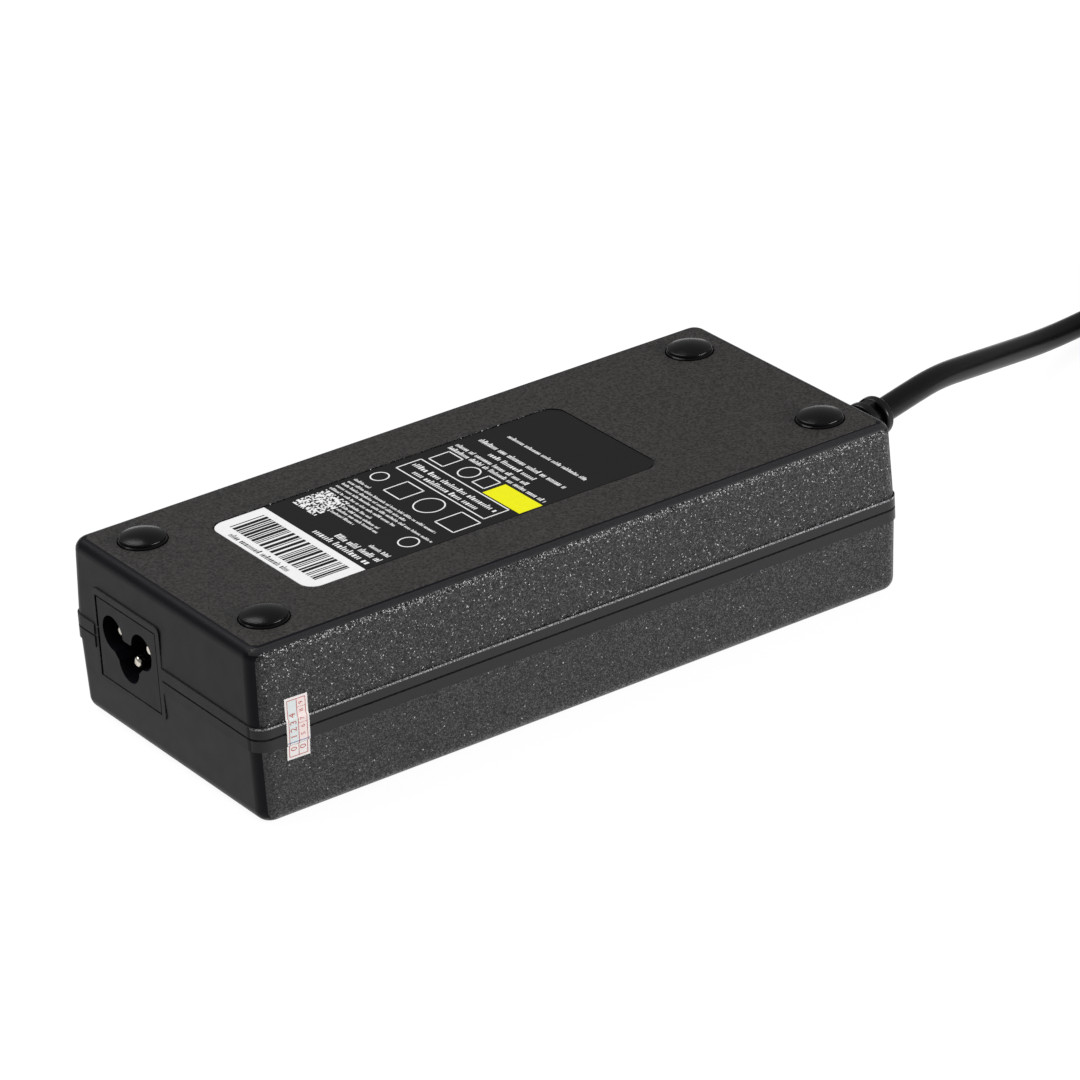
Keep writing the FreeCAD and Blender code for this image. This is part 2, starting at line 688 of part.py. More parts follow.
def plug_barrel():
    x = PLUG_GRIP_LENGTH
    outer = Part.makeCylinder(BARREL_RADIUS, BARREL_LENGTH, V(x, 0, 0), V(1, 0, 0))
    inner = Part.makeCylinder(
        BARREL_RADIUS - BARREL_WALL, BARREL_LENGTH + 1, V(x, 0, 0), V(1, 0, 0)
    )
    return place_plug(outer.cut(inner))


def plug_insulator():
    x = PLUG_GRIP_LENGTH
    outer = Part.makeCylinder(
        BARREL_RADIUS - BARREL_WALL, BARREL_LENGTH - 0.3, V(x, 0, 0), V(1, 0, 0)
    )
    inner = Part.makeCylinder(
        CONTACT_BORE_RADIUS + CONTACT_WALL, BARREL_LENGTH, V(x, 0, 0), V(1, 0, 0)
    )
    return place_plug(outer.cut(inner))


def plug_centre_contact():
    x = PLUG_GRIP_LENGTH
    outer = Part.makeCylinder(
        CONTACT_BORE_RADIUS + CONTACT_WALL, CONTACT_LENGTH, V(x, 0, 0), V(1, 0, 0)
    )
    inner = Part.makeCylinder(CONTACT_BORE_RADIUS, CONTACT_LENGTH + 1, V(x, 0, 0), V(1, 0, 0))
    return place_plug(outer.cut(inner))


def circuit_board():
    return rounded_prism(BOARD_HALF[0], BOARD_HALF[1], BOARD_CORNER_RADIUS, BOARD_Z)


def under_board(height):
    """The span of z from the board's component side down by a height."""
    return (BOARD_Z[0] - height, BOARD_Z[0])


def wires(starts, corner_x):
    """Insulated wires that run along X and turn up to the board."""
    made = []
    for x, y, z in starts:
        route = [(x, y, z), (corner_x, y, z), (corner_x, y, BOARD_Z[0])]
        made.append(tube(rounded_path(route, "wire", WIRE_BEND), WIRE_RADIUS))
    return Part.makeCompound(made)


def inlet_wires():
    return wires([(PIN_TAIL_X, y, z) for y, z in inlet_pin_places()], -47.5)


def output_wires():
    return wires([(RELIEF_FLANGE_X[0], y, SEAM) for y in (-1.3, 1.3)], 65.0)


def disc_on_edge(x, y, radius, thickness):
    """A disc component standing on its edge under the board, its flat face along X."""
    centre = V(x - thickness / 2, y, BOARD_Z[0] - radius)
    return Part.makeCylinder(radius, thickness, centre, V(1, 0, 0))


def ring_under_board(x, y, inner, outer, z):
    return upright_cylinder(x, y, outer, z).cut(upright_cylinder(x, y, inner, z))


def bulk_capacitor():
    """The large electrolytic can, lying along X, with its rolled groove."""
    z = BOARD_Z[0] - 9.0
    can = Part.makeCylinder(9.0, 34.0, V(-20, 17, z), V(1, 0, 0))
    groove = Part.makeCylinder(9.5, 1.0, V(-17.5, 17, z), V(1, 0, 0))
    waist = Part.makeCylinder(8.4, 1.0, V(-17.5, 17, z), V(1, 0, 0))
    return can.cut(groove.cut(waist))


def choke_core(x, y, half_x, half_y, height, leg):
    """Two ferrite plates, two side legs and a round centre leg, standing under the board."""
    z0, z1 = under_board(height)
    core = box((x - half_x, x + half_x), (y - half_y, y + half_y), (z0, z1))
    gap = box((x - half_x + leg, x + half_x - leg), (y - half_y - 1, y + half_y + 1), (z0 + leg, z1 - leg))
    post = upright_cylinder(x, y, centre_leg(half_x), (z0 + leg, z1 - leg))
    return core.cut(gap).fuse(post)


def centre_leg(half_x):
    return half_x * 0.42


def choke_winding(x, y, half_x, height, leg, clearance):
    """The wound coil that fills a core's window."""
    z0, z1 = under_board(height)
    inner = centre_leg(half_x) + clearance
    outer = half_x - leg - 0.2
    return ring_under_board(x, y, inner, outer, (z0 + leg + clearance, z1 - leg - clearance))


def transformer_bobbin():
    """The former that carries the transformer's winding: a thin tube with two flanges."""
    z0, z1 = under_board(20.0)
    inner = centre_leg(13.0)
    tube_part = ring_under_board(31, 0, inner, inner + 0.7, (z0 + 4, z1 - 4))
    flanges = [
        ring_under_board(31, 0, inner, 8.8, z) for z in ((z0 + 4, z0 + 4.7), (z1 - 4.7, z1 - 4))
    ]
    return tube_part.fuse(flanges)


def primary_heat_sink():
    plate = box((-14, 14), (-4, -2.2), (6.0, BOARD_Z[0]))
    foot_plate = box((-14, 14), (-4, 2.4), (6.0, 7.8))
    return plate.fuse(foot_plate)


def power_package(x, y, z):
    """A flat power package: a plastic body on a metal tab."""
    return box(x, y, z)


def power_transistors():
    made = [
        power_package((x - 5, x + 5), (-2.2, 2.3), (10.5, BOARD_Z[0] - 1.5)) for x in (-7.0, 7.0)
    ]
    return Part.makeCompound(made)


def y_capacitors():
    return Part.makeCompound([disc_on_edge(31, y, 4.2, 3.0) for y in (-20.0, 20.0)])


def output_capacitors():
    z = under_board(20.0)
    return Part.makeCompound([upright_cylinder(58.5, y, 4.9, z) for y in (-11.0, 0.0, 11.0)])


def base_spreader():
    return box(
        (-SPREADER_HALF_X, SPREADER_HALF_X),
        (-SHEET_HALF_Y, SHEET_HALF_Y),
        (BASE_SPREADER_Z, BASE_SPREADER_Z + SPREADER_THICKNESS),
    )


def board_insulating_sheet():
    return box(
        (-SPREADER_HALF_X, SPREADER_HALF_X),
        (-SHEET_HALF_Y, SHEET_HALF_Y),
        (BASE_SPREADER_Z - SHEET_THICKNESS, BASE_SPREADER_Z),
    )


def channel(half_y, z, thickness, height):
    """A flat sheet with both long sides folded up."""
    x = (-SPREADER_HALF_X, SPREADER_HALF_X)
    sheet = box(x, (-half_y, half_y), (z, z + height))
    hollow = box(x, (-half_y + thickness, half_y - thickness), (z + thickness, z + height))
    return sheet.cut(hollow)


def cover_spreader():
    return channel(CHANNEL_HALF_Y, COVER_SPREADER_Z, SPREADER_THICKNESS, CHANNEL_HEIGHT)


def component_insulating_liner():
    inside = CHANNEL_HALF_Y - SPREADER_THICKNESS
    z = COVER_SPREADER_Z + SPREADER_THICKNESS
    return channel(inside, z, SHEET_THICKNESS, CHANNEL_HEIGHT - SPREADER_THICKNESS)


def thermal_pad():
    z = COVER_SPREADER_Z + SPREADER_THICKNESS + SHEET_THICKNESS
    return box((-14, 14), (-4, 2.4), (z, 6.0))


def control_chips():
    z = (BOARD_Z[1], BOARD_Z[1] + 1.5)
    return Part.makeCompound([box((2, 7), (-13, -9), z), box((33, 37), (14, 18), z)])


def export(name, shape):
    shape.exportStep("parts/" + name + ".step")
    volumes = [round(s.Volume, 1) for s in shape.Solids]
    print(name, "valid", shape.isValid(), "solids", len(shape.Solids), "volumes", volumes[:4])


def build_housing():
    export("base_shell", base_shell())
    export("cover_shell", cover_shell())
    for number, (x, y) in enumerate(corners(FOOT_X, FOOT_Y), 1):
        export("foot_%d" % number, foot(x, y))
    export("rating_label", rating_label())
    export("seal_sticker", seal_sticker())


def build_inlet():
    export("inlet_body", inlet_body())
    names = ("inlet_line_pin", "inlet_neutral_pin", "inlet_earth_pin")
    for name, (y, z) in zip(names, inlet_pin_places()):
        export(name, inlet_pin(y, z))
    export("inlet_wires", inlet_wires())


def build_lead():
    export("strain_relief", strain_relief())
    export("output_lead_stretch", output_lead_stretch())
    export("output_lead_coil", output_lead_coil())
    export("output_lead_tail", output_lead_tail())
    export("cord_tie", cord_tie())
    export("plug_grip", plug_grip())
    export("plug_barrel", plug_barrel())
    export("plug_insulator", plug_insulator())
    export("plug_centre_contact", plug_centre_contact())
    export("output_wires", output_wires())


def build_primary_side():
    export("circuit_board", circuit_board())
    export("fuse", upright_cylinder(-43, -7, 4.2, under_board(8.0)))
    export("varistor", disc_on_edge(-44, -20, 5.0, 3.6))
    export("thermistor", disc_on_edge(-36, -20, 6.0, 4.4))
    export("x_capacitor", box((-41, -23), (14, 23), under_board(15.0)))
    export("filter_choke_core", ring_under_board(-30, 0, 5.0, 8.0, under_board(9.0)))
    winding = ring_under_board(-30, 0, 4.0, 9.5, under_board(11.0))
    winding = winding.cut(ring_under_board(-30, 0, 5.0, 8.0, under_board(9.0)))
    export("filter_choke_winding", winding)
    export("bridge_rectifier", box((-19.5, -15.9), (-12, 6), under_board(16.0)))
    export("pfc_choke_core", choke_core(-1, -15, 10, 10, 18.0, 3.5))
    export("pfc_choke_winding", choke_winding(-1, -15, 10, 18.0, 3.5, 0.2))
    export("bulk_capacitor", bulk_capacitor())
    export("primary_heat_sink", primary_heat_sink())
    export("power_transistors", power_transistors())
    export("control_chips", control_chips())


def build_secondary_side():
    export("transformer_core", choke_core(31, 0, 13, 9, 20.0, 4.0))
    export("transformer_bobbin", transformer_bobbin())
    z0, z1 = under_board(20.0)
    inner = centre_leg(13.0) + 0.7
    export("transformer_winding", ring_under_board(31, 0, inner, 8.6, (z0 + 4.7, z1 - 4.7)))
    export("y_capacitors", y_capacitors())
    export("secondary_heat_sink", box((46.5, 48.0), (-15, 9), (8.0, BOARD_Z[0])))
    export("output_rectifier", power_package((48.0, 52.5), (-8, 2), (11, BOARD_Z[0] - 1.5)))
    export("output_capacitors", output_capacitors())
    export("output_choke", upright_cylinder(51.5, 19, 4.4, under_board(14.0)))
    export("optocoupler", box((21.5, 26.1), (-19.5, -13), under_board(3.6)))


def build_cooling():
    export("base_heat_spreader", base_spreader())
    export("board_insulating_sheet", board_insulating_sheet())
    export("cover_heat_spreader", cover_spreader())
    export("component_insulating_liner", component_insulating_liner())
    export("thermal_pad", thermal_pad())


os.makedirs("parts", exist_ok=True)
build_housing()
build_inlet()
build_lead()
build_primary_side()
build_secondary_side()
build_cooling()
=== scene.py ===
import math
import random

import bmesh
import bpy
from bpy.props import FloatProperty, FloatVectorProperty, IntProperty, PointerProperty
from bpy.types import Operator, Panel, PropertyGroup
from mathutils import Matrix, Vector


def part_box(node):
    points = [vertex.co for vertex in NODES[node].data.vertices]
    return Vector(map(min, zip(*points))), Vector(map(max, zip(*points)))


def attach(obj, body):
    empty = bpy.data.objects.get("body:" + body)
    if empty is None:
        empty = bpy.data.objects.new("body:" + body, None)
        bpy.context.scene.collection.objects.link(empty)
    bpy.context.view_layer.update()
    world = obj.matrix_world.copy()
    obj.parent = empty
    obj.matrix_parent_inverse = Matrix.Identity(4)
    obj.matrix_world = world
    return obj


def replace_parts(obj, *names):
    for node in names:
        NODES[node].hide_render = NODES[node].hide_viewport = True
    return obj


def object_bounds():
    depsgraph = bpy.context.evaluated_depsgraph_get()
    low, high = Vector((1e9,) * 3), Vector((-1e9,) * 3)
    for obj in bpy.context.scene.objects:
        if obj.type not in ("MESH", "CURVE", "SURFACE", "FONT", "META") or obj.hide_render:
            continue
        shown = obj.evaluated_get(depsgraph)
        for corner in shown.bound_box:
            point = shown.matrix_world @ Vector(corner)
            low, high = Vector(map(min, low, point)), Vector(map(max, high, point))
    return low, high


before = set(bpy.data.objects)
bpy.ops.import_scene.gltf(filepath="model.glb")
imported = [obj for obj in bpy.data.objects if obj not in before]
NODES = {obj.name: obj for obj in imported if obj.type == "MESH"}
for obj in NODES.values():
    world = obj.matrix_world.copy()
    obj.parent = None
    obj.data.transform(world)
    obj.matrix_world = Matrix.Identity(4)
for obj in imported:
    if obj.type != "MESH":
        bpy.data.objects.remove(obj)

bl_info = {
    "name": "Laptop power adapter",
    "version": (1, 0, 0),
    "blender": (4, 5, 0),
    "location": "3D View > Sidebar > Adapter",
    "description": "Dresses the packed power adapter: finishes, label, sticker, lead, plug and studio",
    "category": "Add Mesh",
}

CAD_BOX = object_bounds()
MM = 0.001

# Places that the frame gives
HOUSING_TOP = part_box("base_shell")[1].z
SEAM_Z = HOUSING_TOP / 2
LABEL_LOW, LABEL_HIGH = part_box("rating_label")
STICKER_LOW, STICKER_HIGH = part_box("seal_sticker")
BAND_HALF_HEIGHT = 2.4 * MM
BAND_PROUD = 0.2 * MM
WALL_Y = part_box("base_shell")[0].y + BAND_PROUD    # the wall's outside at the seam, inside the band
DRAFT = math.tan(math.radians(1.65))
GROOVE_HALF_WIDTH = 0.22 * MM

# The output lead's points, as in the part's source, in millimetres
LEAD_ROUTE = [
    (93.62, 3.35, 17.45),
    (104.13, 6.72, 17.45),
    (115.0, 11.2, 16.4),
    (127.5, 16.4, 13.2),
    (141.0, 22.6, 9.4),
    (156.0, 29.2, 5.35),
    (171.0, 33.8, 3.5),
    (186.0, 37.0, 3.35),
]
LEAD_LAST_RUN = 12.0
LEAD_HEADING = 12.0
COIL_PITCH = 5.5
COIL_INNER = 19.5
COIL_CLIMB_ROOM = 1.1
COIL_HALF_TURNS_IN = 6
COIL_HALF_TURNS_OUT = 5
COIL_BOTTOM_Z = 3.35
COIL_END = 5.0
# From the coil to the plug, as (along the lead's heading, to its left, up)
TAIL_ROUTE = [
    (13.5, 34.35, 8.85),
    (27.0, 33.2, 8.2),
    (38.9, 27.8, 5.8),
    (47.8, 17.9, 3.8),
    (52.4, 6.0, 3.8),
    (53.3, -6.0, 5.25),
    (53.3, -14.0, 5.25),
]


def linear(hex_colour):
    """An sRGB hex colour as the linear values that shaders take."""
    channels = [int(hex_colour[i:i + 2], 16) / 255 for i in (1, 3, 5)]
    return [c / 12.92 if c <= 0.04045 else ((c + 0.055) / 1.055) ** 2.4 for c in channels]


def colour_property(name, description, hex_colour):
    return FloatVectorProperty(
        name=name, description=description, default=linear(hex_colour), size=3,
        subtype="COLOR", min=0, max=1,
    )


class StageSettings(PropertyGroup):
    """The studio round the adapter."""

    camera_place: FloatVectorProperty(
        name="Camera place", description="Where the camera stands", size=3,
        default=(-0.51668, -0.79868, 0.48896), subtype="TRANSLATION", unit="LENGTH",
    )
    camera_turn: FloatVectorProperty(
        name="Camera turn", description="The camera's XYZ rotation", size=3,
        default=[math.radians(a) for a in (63.7875, 3.1713, -35.0162)],
        subtype="EULER", unit="ROTATION",
    )
    lens: FloatProperty(
        name="Lens", description="Focal length for a 36 mm wide sensor", default=190.07,
        min=1, unit="CAMERA",
    )
    floor_colour: colour_property("Floor", "Colour of the floor and backdrop", "#606060")
    floor_lift: FloatProperty(
        name="Floor brightness", description="How bright the floor itself shows to the camera",
        default=0.93, min=0,
    )
    key_power: FloatProperty(
        name="Key light", description="Power of the low light at the front right",
        default=12, min=0, unit="POWER",
    )
    top_power: FloatProperty(
        name="Top light", description="Power of the large light high behind",
        default=9, min=0, unit="POWER",
    )
    room_strength: FloatProperty(
        name="Room light", description="Strength of the plain light all round",
        default=0.3, min=0,
    )


class HousingSettings(PropertyGroup):
    """Finish of the two moulded housing halves."""

    face_colour: colour_property("Label face", "Fine matt grain on the label face", "#2b2928")
    wall_colour: colour_property("Long walls", "Coarse spark-eroded grain", "#0b0b0c")
    # Painted glints: a share of the walls' grains is drawn in this paler colour, as if it caught the
    # light
    painted_glint_colour: colour_property("Flecks", "Grains on the long walls that catch the light", "#38383a")
    # The faint blue in this black is a painted reflection; the plastic itself is neutral black
    end_colour: colour_property("Ends", "Plain satin finish of the ends", "#0e0d13")
    band_colour: colour_property("Band", "The raised band and the long roundings", "#252527")
    coarse_grain: FloatProperty(
        name="Coarse grain", description="Width of one grain on the long walls",
        default=0.2 * MM, min=0.05 * MM, unit="LENGTH",
    )
    grain_tilt: FloatProperty(
        name="Grain tilt", description="How far the sides of the coarse grains lean",
        default=0.7, min=0, max=2,
    )
    fine_grain: FloatProperty(
        name="Fine grain", description="Width of one grain on the label face",
        default=0.45 * MM, min=0.05 * MM, unit="LENGTH",
    )


class LabelSettings(PropertyGroup):
    """The printed label film."""

    film_colour: colour_property("Film", "Black of the label film", "#0d0d0d")
    white_ink: colour_property("White ink", "Colour of the white print", "#f2f2f2")
    yellow_ink: colour_property("Yellow ink", "Colour of the yellow field", "#f0ee00")
    seed: IntProperty(
        name="Seed", description="Seed of the unreadable marks", default=7, min=0,
    )


class LeadSettings(PropertyGroup):
    """The output lead."""

    diameter: FloatProperty(
        name="Diameter", description="Outside diameter of the round lead",
        default=5 * MM, min=1 * MM, unit="LENGTH",
    )
    length: FloatProperty(
        name="Length", description="Real length from the strain relief to the plug",
        default=1.237, min=0.1, unit="LENGTH",
    )
    colour: colour_property("Sheath", "Colour of the PVC sheath", "#0b0b0c")


# Node and mesh helpers

def add_node(material, kind, values=None, links=None, **options):
    """Adds one node to a material: values and links go to its sockets, options to its settings."""
    node = material.node_tree.nodes.new(kind)
    for name, value in options.items():
        setattr(node, name, value)
    for socket, value in (values or {}).items():
        node.inputs[socket].default_value = value
    for socket, source in (links or {}).items():
        material.node_tree.links.new(source, node.inputs[socket])
    return node


def new_material(name):
    """A material with no nodes yet."""
    material = bpy.data.materials.new(name)
    material.use_nodes = True
    material.node_tree.nodes.clear()
    return material


GLOSS_SWING = 0.07                      # how far a skin's roughness varies either way
NICKEL_GLOSS = (0.14, 0.3)


def skinned(name, colour, roughness, grain, depth, level=0.3):
    """A moulded, dipped or extruded skin: an even colour under a gloss that varies a little,
    over a faint grain of this width and depth in millimetres."""
    material = new_material(name)
    place = add_node(material, "ShaderNodeTexCoord").outputs["Object"]
    flow = add_node(
        material, "ShaderNodeTexNoise", {"Scale": 0.1 / (grain * MM), "Detail": 3.0}, {"Vector": place}
    )
    gloss = add_node(
        material, "ShaderNodeMapRange",
        {"To Min": roughness - GLOSS_SWING, "To Max": roughness + GLOSS_SWING},
        {"Value": flow.outputs["Fac"]},
    )
    skin = add_node(
        material, "ShaderNodeTexNoise", {"Scale": 1 / (grain * MM), "Detail": 2.0}, {"Vector": place}
    )
    relief = add_node(
        material, "ShaderNodeBump", {"Distance": depth * MM}, {"Height": skin.outputs["Fac"]}
    )
    shader = add_node(
        material, "ShaderNodeBsdfPrincipled",
        {"Base Color": (*colour, 1), "Specular IOR Level": level},
        {"Roughness": gloss.outputs["Result"], "Normal": relief.outputs["Normal"]},
    )
    add_node(material, "ShaderNodeOutputMaterial", links={"Surface": shader.outputs["BSDF"]})
    return material


def mottled(name, colours, width, detail, finish, depth=0, limits=(0, 1)):
    """A surface mottled between two colours, in spots about this many millimetres wide, and
    lumpy where a depth in millimetres is given. Closer limits make the spots sharper."""
    material = new_material(name)
    place = add_node(material, "ShaderNodeTexCoord").outputs["Object"]
    spots = add_node(
        material, "ShaderNodeTexNoise", {"Scale": 1 / (width * MM), "Detail": detail},
        {"Vector": place},
    )
    share = add_node(
        material, "ShaderNodeMapRange", {"From Min": limits[0], "From Max": limits[1]},
        {"Value": spots.outputs["Fac"]},
    )
    shade = add_node(
        material, "ShaderNodeMix", {6: (*colours[0], 1), 7: (*colours[1], 1)},
        {"Factor": share.outputs["Result"]}, data_type="RGBA",
    )
    links = {"Base Color": shade.outputs[2]}
    if depth:
        lumps = add_node(
            material, "ShaderNodeBump", {"Distance": depth * MM}, {"Height": spots.outputs["Fac"]}
        )
        links["Normal"] = lumps.outputs["Normal"]
    shader = add_node(material, "ShaderNodeBsdfPrincipled", finish, links)
    add_node(material, "ShaderNodeOutputMaterial", links={"Surface": shader.outputs["BSDF"]})
    return material


def worked_metal(name, colour, width, gloss, stretch=(1, 1, 1)):
    """Plated, turned or rolled metal: its gloss varies between two roughnesses along fine marks,
    this many millimetres wide, that a stretch below 1 draws out along an axis."""
    material = new_material(name)
    place = add_node(material, "ShaderNodeTexCoord").outputs["Object"]
    drawn = add_node(material, "ShaderNodeMapping", {"Scale": stretch}, {"Vector": place})
    marks = add_node(
        material, "ShaderNodeTexNoise", {"Scale": 1 / (width * MM), "Detail": 2.0},
        {"Vector": drawn.outputs["Vector"]},
    )
    gloss = add_node(
        material, "ShaderNodeMapRange", {"To Min": gloss[0], "To Max": gloss[1]},
        {"Value": marks.outputs["Fac"]},
    )
    shader = add_node(
        material, "ShaderNodeBsdfPrincipled", {"Base Color": (*linear(colour), 1), "Metallic": 1.0},
        {"Roughness": gloss.outputs["Result"]},
    )
    add_node(material, "ShaderNodeOutputMaterial", links={"Surface": shader.outputs["BSDF"]})
    return material


def finish_nodes(material, *names):
    """Gives carried-over CAD nodes their material."""
    for name in names:
        slots = NODES[name].data.materials
        slots.clear()
        slots.append(material)


def new_piece(name, mesh, material):
    """An object at the origin that rides on the adapter."""
    piece = bpy.data.objects.new(name, mesh)
    bpy.context.scene.collection.objects.link(piece)
    mesh.materials.append(material)
    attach(piece, "root")
    return piece


def mesh_from(bm, name, smooth_angle=None):
    """Turns a bmesh into a mesh, smooth below an angle between faces."""
    mesh = bpy.data.meshes.new(name)
    bm.to_mesh(mesh)
    bm.free()
    if smooth_angle is not None:
        mesh.shade_smooth()
        mesh.set_sharp_from_angle(angle=smooth_angle)
    return mesh


def plate(bm, x, y, z):
    """A plate or block between two values on each axis."""
    low = Vector((x[0], y[0], z[0]))
    high = Vector((x[1], y[1], z[1]))
    place = Matrix.Translation((low + high) / 2) @ Matrix.Diagonal((*(high - low), 1))
    bmesh.ops.create_cube(bm, size=1, matrix=place)


def runs_along(edge, axis):
    """Whether a straight edge is parallel to the axis with this number."""
    run = edge.verts[0].co - edge.verts[1].co
    return abs(run[axis]) > 0.99 * run.length


def round_edges(bm, edges, radius, segments):
    """Rounds some edges of a mesh."""
    bmesh.ops.bevel(
        bm, geom=edges, offset=radius, offset_type="OFFSET", segments=segments, profile=0.5,
        affect="EDGES", material=-1,
    )


def cut_at(bm, point, normal):
    """Cuts every face of a mesh along a plane."""
    bmesh.ops.bisect_plane(
        bm, geom=bm.verts[:] + bm.edges[:] + bm.faces[:], plane_co=point, plane_no=normal,
    )


def join_mesh(bm, part):
    """Adds one bmesh to another."""
    mesh = bpy.data.meshes.new("part")
    part.to_mesh(mesh)
    part.free()
    bm.from_mesh(mesh)
    bpy.data.meshes.remove(mesh)


# The output lead

def coil_distance(k):
    """How far from the coil's middle the crossing k half turns out from the innermost is."""
    return COIL_INNER + (COIL_CLIMB_ROOM + k * COIL_PITCH / 2 if k else 0)


def coil_frame():
    """The coil's middle, the lead's heading and the direction to its left."""
    turn = math.radians(LEAD_HEADING)
    ahead = Vector((math.cos(turn), math.sin(turn), 0))
    left = Vector((-math.sin(turn), math.cos(turn), 0))
    entry = Vector(LEAD_ROUTE[-1]) + ahead * LEAD_LAST_RUN
    middle = entry + ahead * COIL_END - left * coil_distance(COIL_HALF_TURNS_IN)
    return Vector((middle.x, middle.y, 0)), ahead, left


def from_coil(point):
    """A point given along the lead's heading, to its left and up, from the coil's middle."""
    middle, ahead, left = coil_frame()
    return middle + ahead * point[0] + left * point[1] + Vector((0, 0, point[2]))


def coil_points(per_half_turn=8):
    """Control points of the coil: half turns on alternate centres, in below and out above."""
    inward = [coil_distance(k) for k in range(COIL_HALF_TURNS_IN, -1, -1)]
    outward = [coil_distance(k) for k in range(COIL_HALF_TURNS_OUT + 1)]
    top = COIL_BOTTOM_Z + COIL_PITCH
    levels = [(d, COIL_BOTTOM_Z) for d in inward] + [(d, top) for d in outward]
    crossings = [(d * (-1) ** k, z) for k, (d, z) in enumerate(levels)]
    points = []
    for k, (a, b) in enumerate(zip(crossings, crossings[1:])):
        bulge = 1 if k % 2 == 0 else -1
        middle = (a[0] + b[0]) / 2
        radius = abs(a[0] - b[0]) / 2 / math.cos(math.pi / (2 * per_half_turn))
        for j in range(per_half_turn):
            angle = math.pi * (j + 0.5) / per_half_turn
            height = a[1] + (b[1] - a[1]) * (1 - math.cos(angle)) / 2
            along = bulge * radius * math.sin(angle)
            points.append(from_coil((along, middle + bulge * radius * math.cos(angle), height)))
    return points


def lead_points():
    """The whole lead's control points, in millimetres."""
    ahead = coil_frame()[1]
    run_end = Vector(LEAD_ROUTE[-1]) + ahead * LEAD_LAST_RUN
    tail = [from_coil(p) for p in TAIL_ROUTE]
    return [Vector(p) for p in LEAD_ROUTE] + [run_end] + coil_points() + tail


class ADAPTER_OT_output_lead(Operator):
    """Lays the round output lead: stretch, put-away coil and tail to the plug"""

    bl_idname = "adapter.output_lead"
    bl_label = "Output lead"

    def execute(self, context):
        settings = context.scene.adapter_lead
        curve = bpy.data.curves.new("output_lead", "CURVE")
        curve.dimensions = "3D"
        points = lead_points()
        spline = curve.splines.new("NURBS")
        spline.points.add(len(points) - 1)
        for point, place in zip(spline.points, points):
            point.co = (*(place * MM), 1)
        spline.order_u = 3
        spline.use_endpoint_u = True
        spline.resolution_u = 8
        curve.bevel_depth = settings.diameter / 2
        curve.bevel_resolution = 6
        curve.use_fill_caps = True
        piece = bpy.data.objects.new("output_lead", curve)
        context.scene.collection.objects.link(piece)
        # Extruded soft PVC: satin black, whose gloss wavers along its length
        curve.materials.append(skinned("extruded_pvc_sheath", settings.colour, 0.3, 0.6, 0.008, 0.12))
        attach(piece, "root")
        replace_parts(piece, "output_lead_stretch", "output_lead_coil", "output_lead_tail")
        return {"FINISHED"}


# The studio

# Place and size of the two softboxes, in metres
KEY_PLACE, KEY_SIZE = (0.55, -0.85, 0.32), (0.7, 0.22)
TOP_PLACE, TOP_SIZE = (-0.35, 0.5, 1.0), (0.9, 0.8)


class ADAPTER_OT_studio(Operator):
    """Sets up the camera, the pale floor and the soft studio light"""

    bl_idname = "adapter.studio"
    bl_label = "Studio"

    def execute(self, context):
        settings = context.scene.adapter_stage
        set_camera(context.scene, settings)
        lay_floor(context.scene, settings)
        light_room(context.scene, settings)
        context.scene.view_settings.view_transform = "Standard"
        return {"FINISHED"}


def set_camera(scene, settings):
    data = bpy.data.cameras.new("camera")
    data.sensor_width = 36
    data.lens = settings.lens
    data.clip_start = 0.05
    data.clip_end = 20
    camera = bpy.data.objects.new("camera", data)
    camera.location = settings.camera_place
    camera.rotation_euler = settings.camera_turn
    scene.collection.objects.link(camera)
    scene.camera = camera


def lay_floor(scene, settings):
    """A large pale floor that shows near white to the camera and keeps a soft shadow."""
    bm = bmesh.new()
    bmesh.ops.create_grid(bm, x_segments=1, y_segments=1, size=6)
    bmesh.ops.translate(bm, verts=bm.verts, vec=(0, 0, CAD_BOX[0][2]))
    floor = bpy.data.objects.new("floor", mesh_from(bm, "floor"))
    scene.collection.objects.link(floor)
    material = new_material("pale_backdrop_paper")
    paper = add_node(material, "ShaderNodeBsdfDiffuse", {"Color": (*settings.floor_colour, 1)})
    rays = add_node(material, "ShaderNodeLightPath")
    seen = rays.outputs["Is Camera Ray"]
    for kind in ("Is Glossy Ray", "Is Transmission Ray"):
        seen = add_node(
            material, "ShaderNodeMath", links={0: seen, 1: rays.outputs[kind]}, operation="MAXIMUM"
        ).outputs[0]
    lift = add_node(
        material, "ShaderNodeMapRange", {"To Max": settings.floor_lift}, {"Value": seen}
    )
    glow = add_node(
        material, "ShaderNodeEmission", {"Color": (1, 1, 1, 1)}, {"Strength": lift.outputs["Result"]}
    )
    both = add_node(
        material, "ShaderNodeAddShader", links={0: paper.outputs["BSDF"], 1: glow.outputs["Emission"]}
    )
    add_node(material, "ShaderNodeOutputMaterial", links={"Surface": both.outputs["Shader"]})
    floor.data.materials.append(material)


def light_room(scene, settings):
    """A plain pale room, a low softbox at the front right and a large one high behind."""
    world = bpy.data.worlds.new("plain_room")
    world.use_nodes = True
    background = world.node_tree.nodes["Background"]
    background.inputs["Color"].default_value = (1, 1, 1, 1)
    background.inputs["Strength"].default_value = settings.room_strength
    scene.world = world
    add_softbox(scene, "key_softbox", KEY_PLACE, KEY_SIZE, settings.key_power)
    add_softbox(scene, "top_softbox", TOP_PLACE, TOP_SIZE, settings.top_power)


def add_softbox(scene, name, place, size, power):
    """A rectangular light that faces the adapter."""
    data = bpy.data.lights.new(name, "AREA")
    data.shape = "RECTANGLE"
    data.size, data.size_y = size
    data.energy = power
    light = bpy.data.objects.new(name, data)
    light.location = place
    towards = Vector((0, 0, SEAM_Z)) - Vector(place)
    light.rotation_euler = towards.to_track_quat("-Z", "Y").to_euler()
    scene.collection.objects.link(light)


# The housing

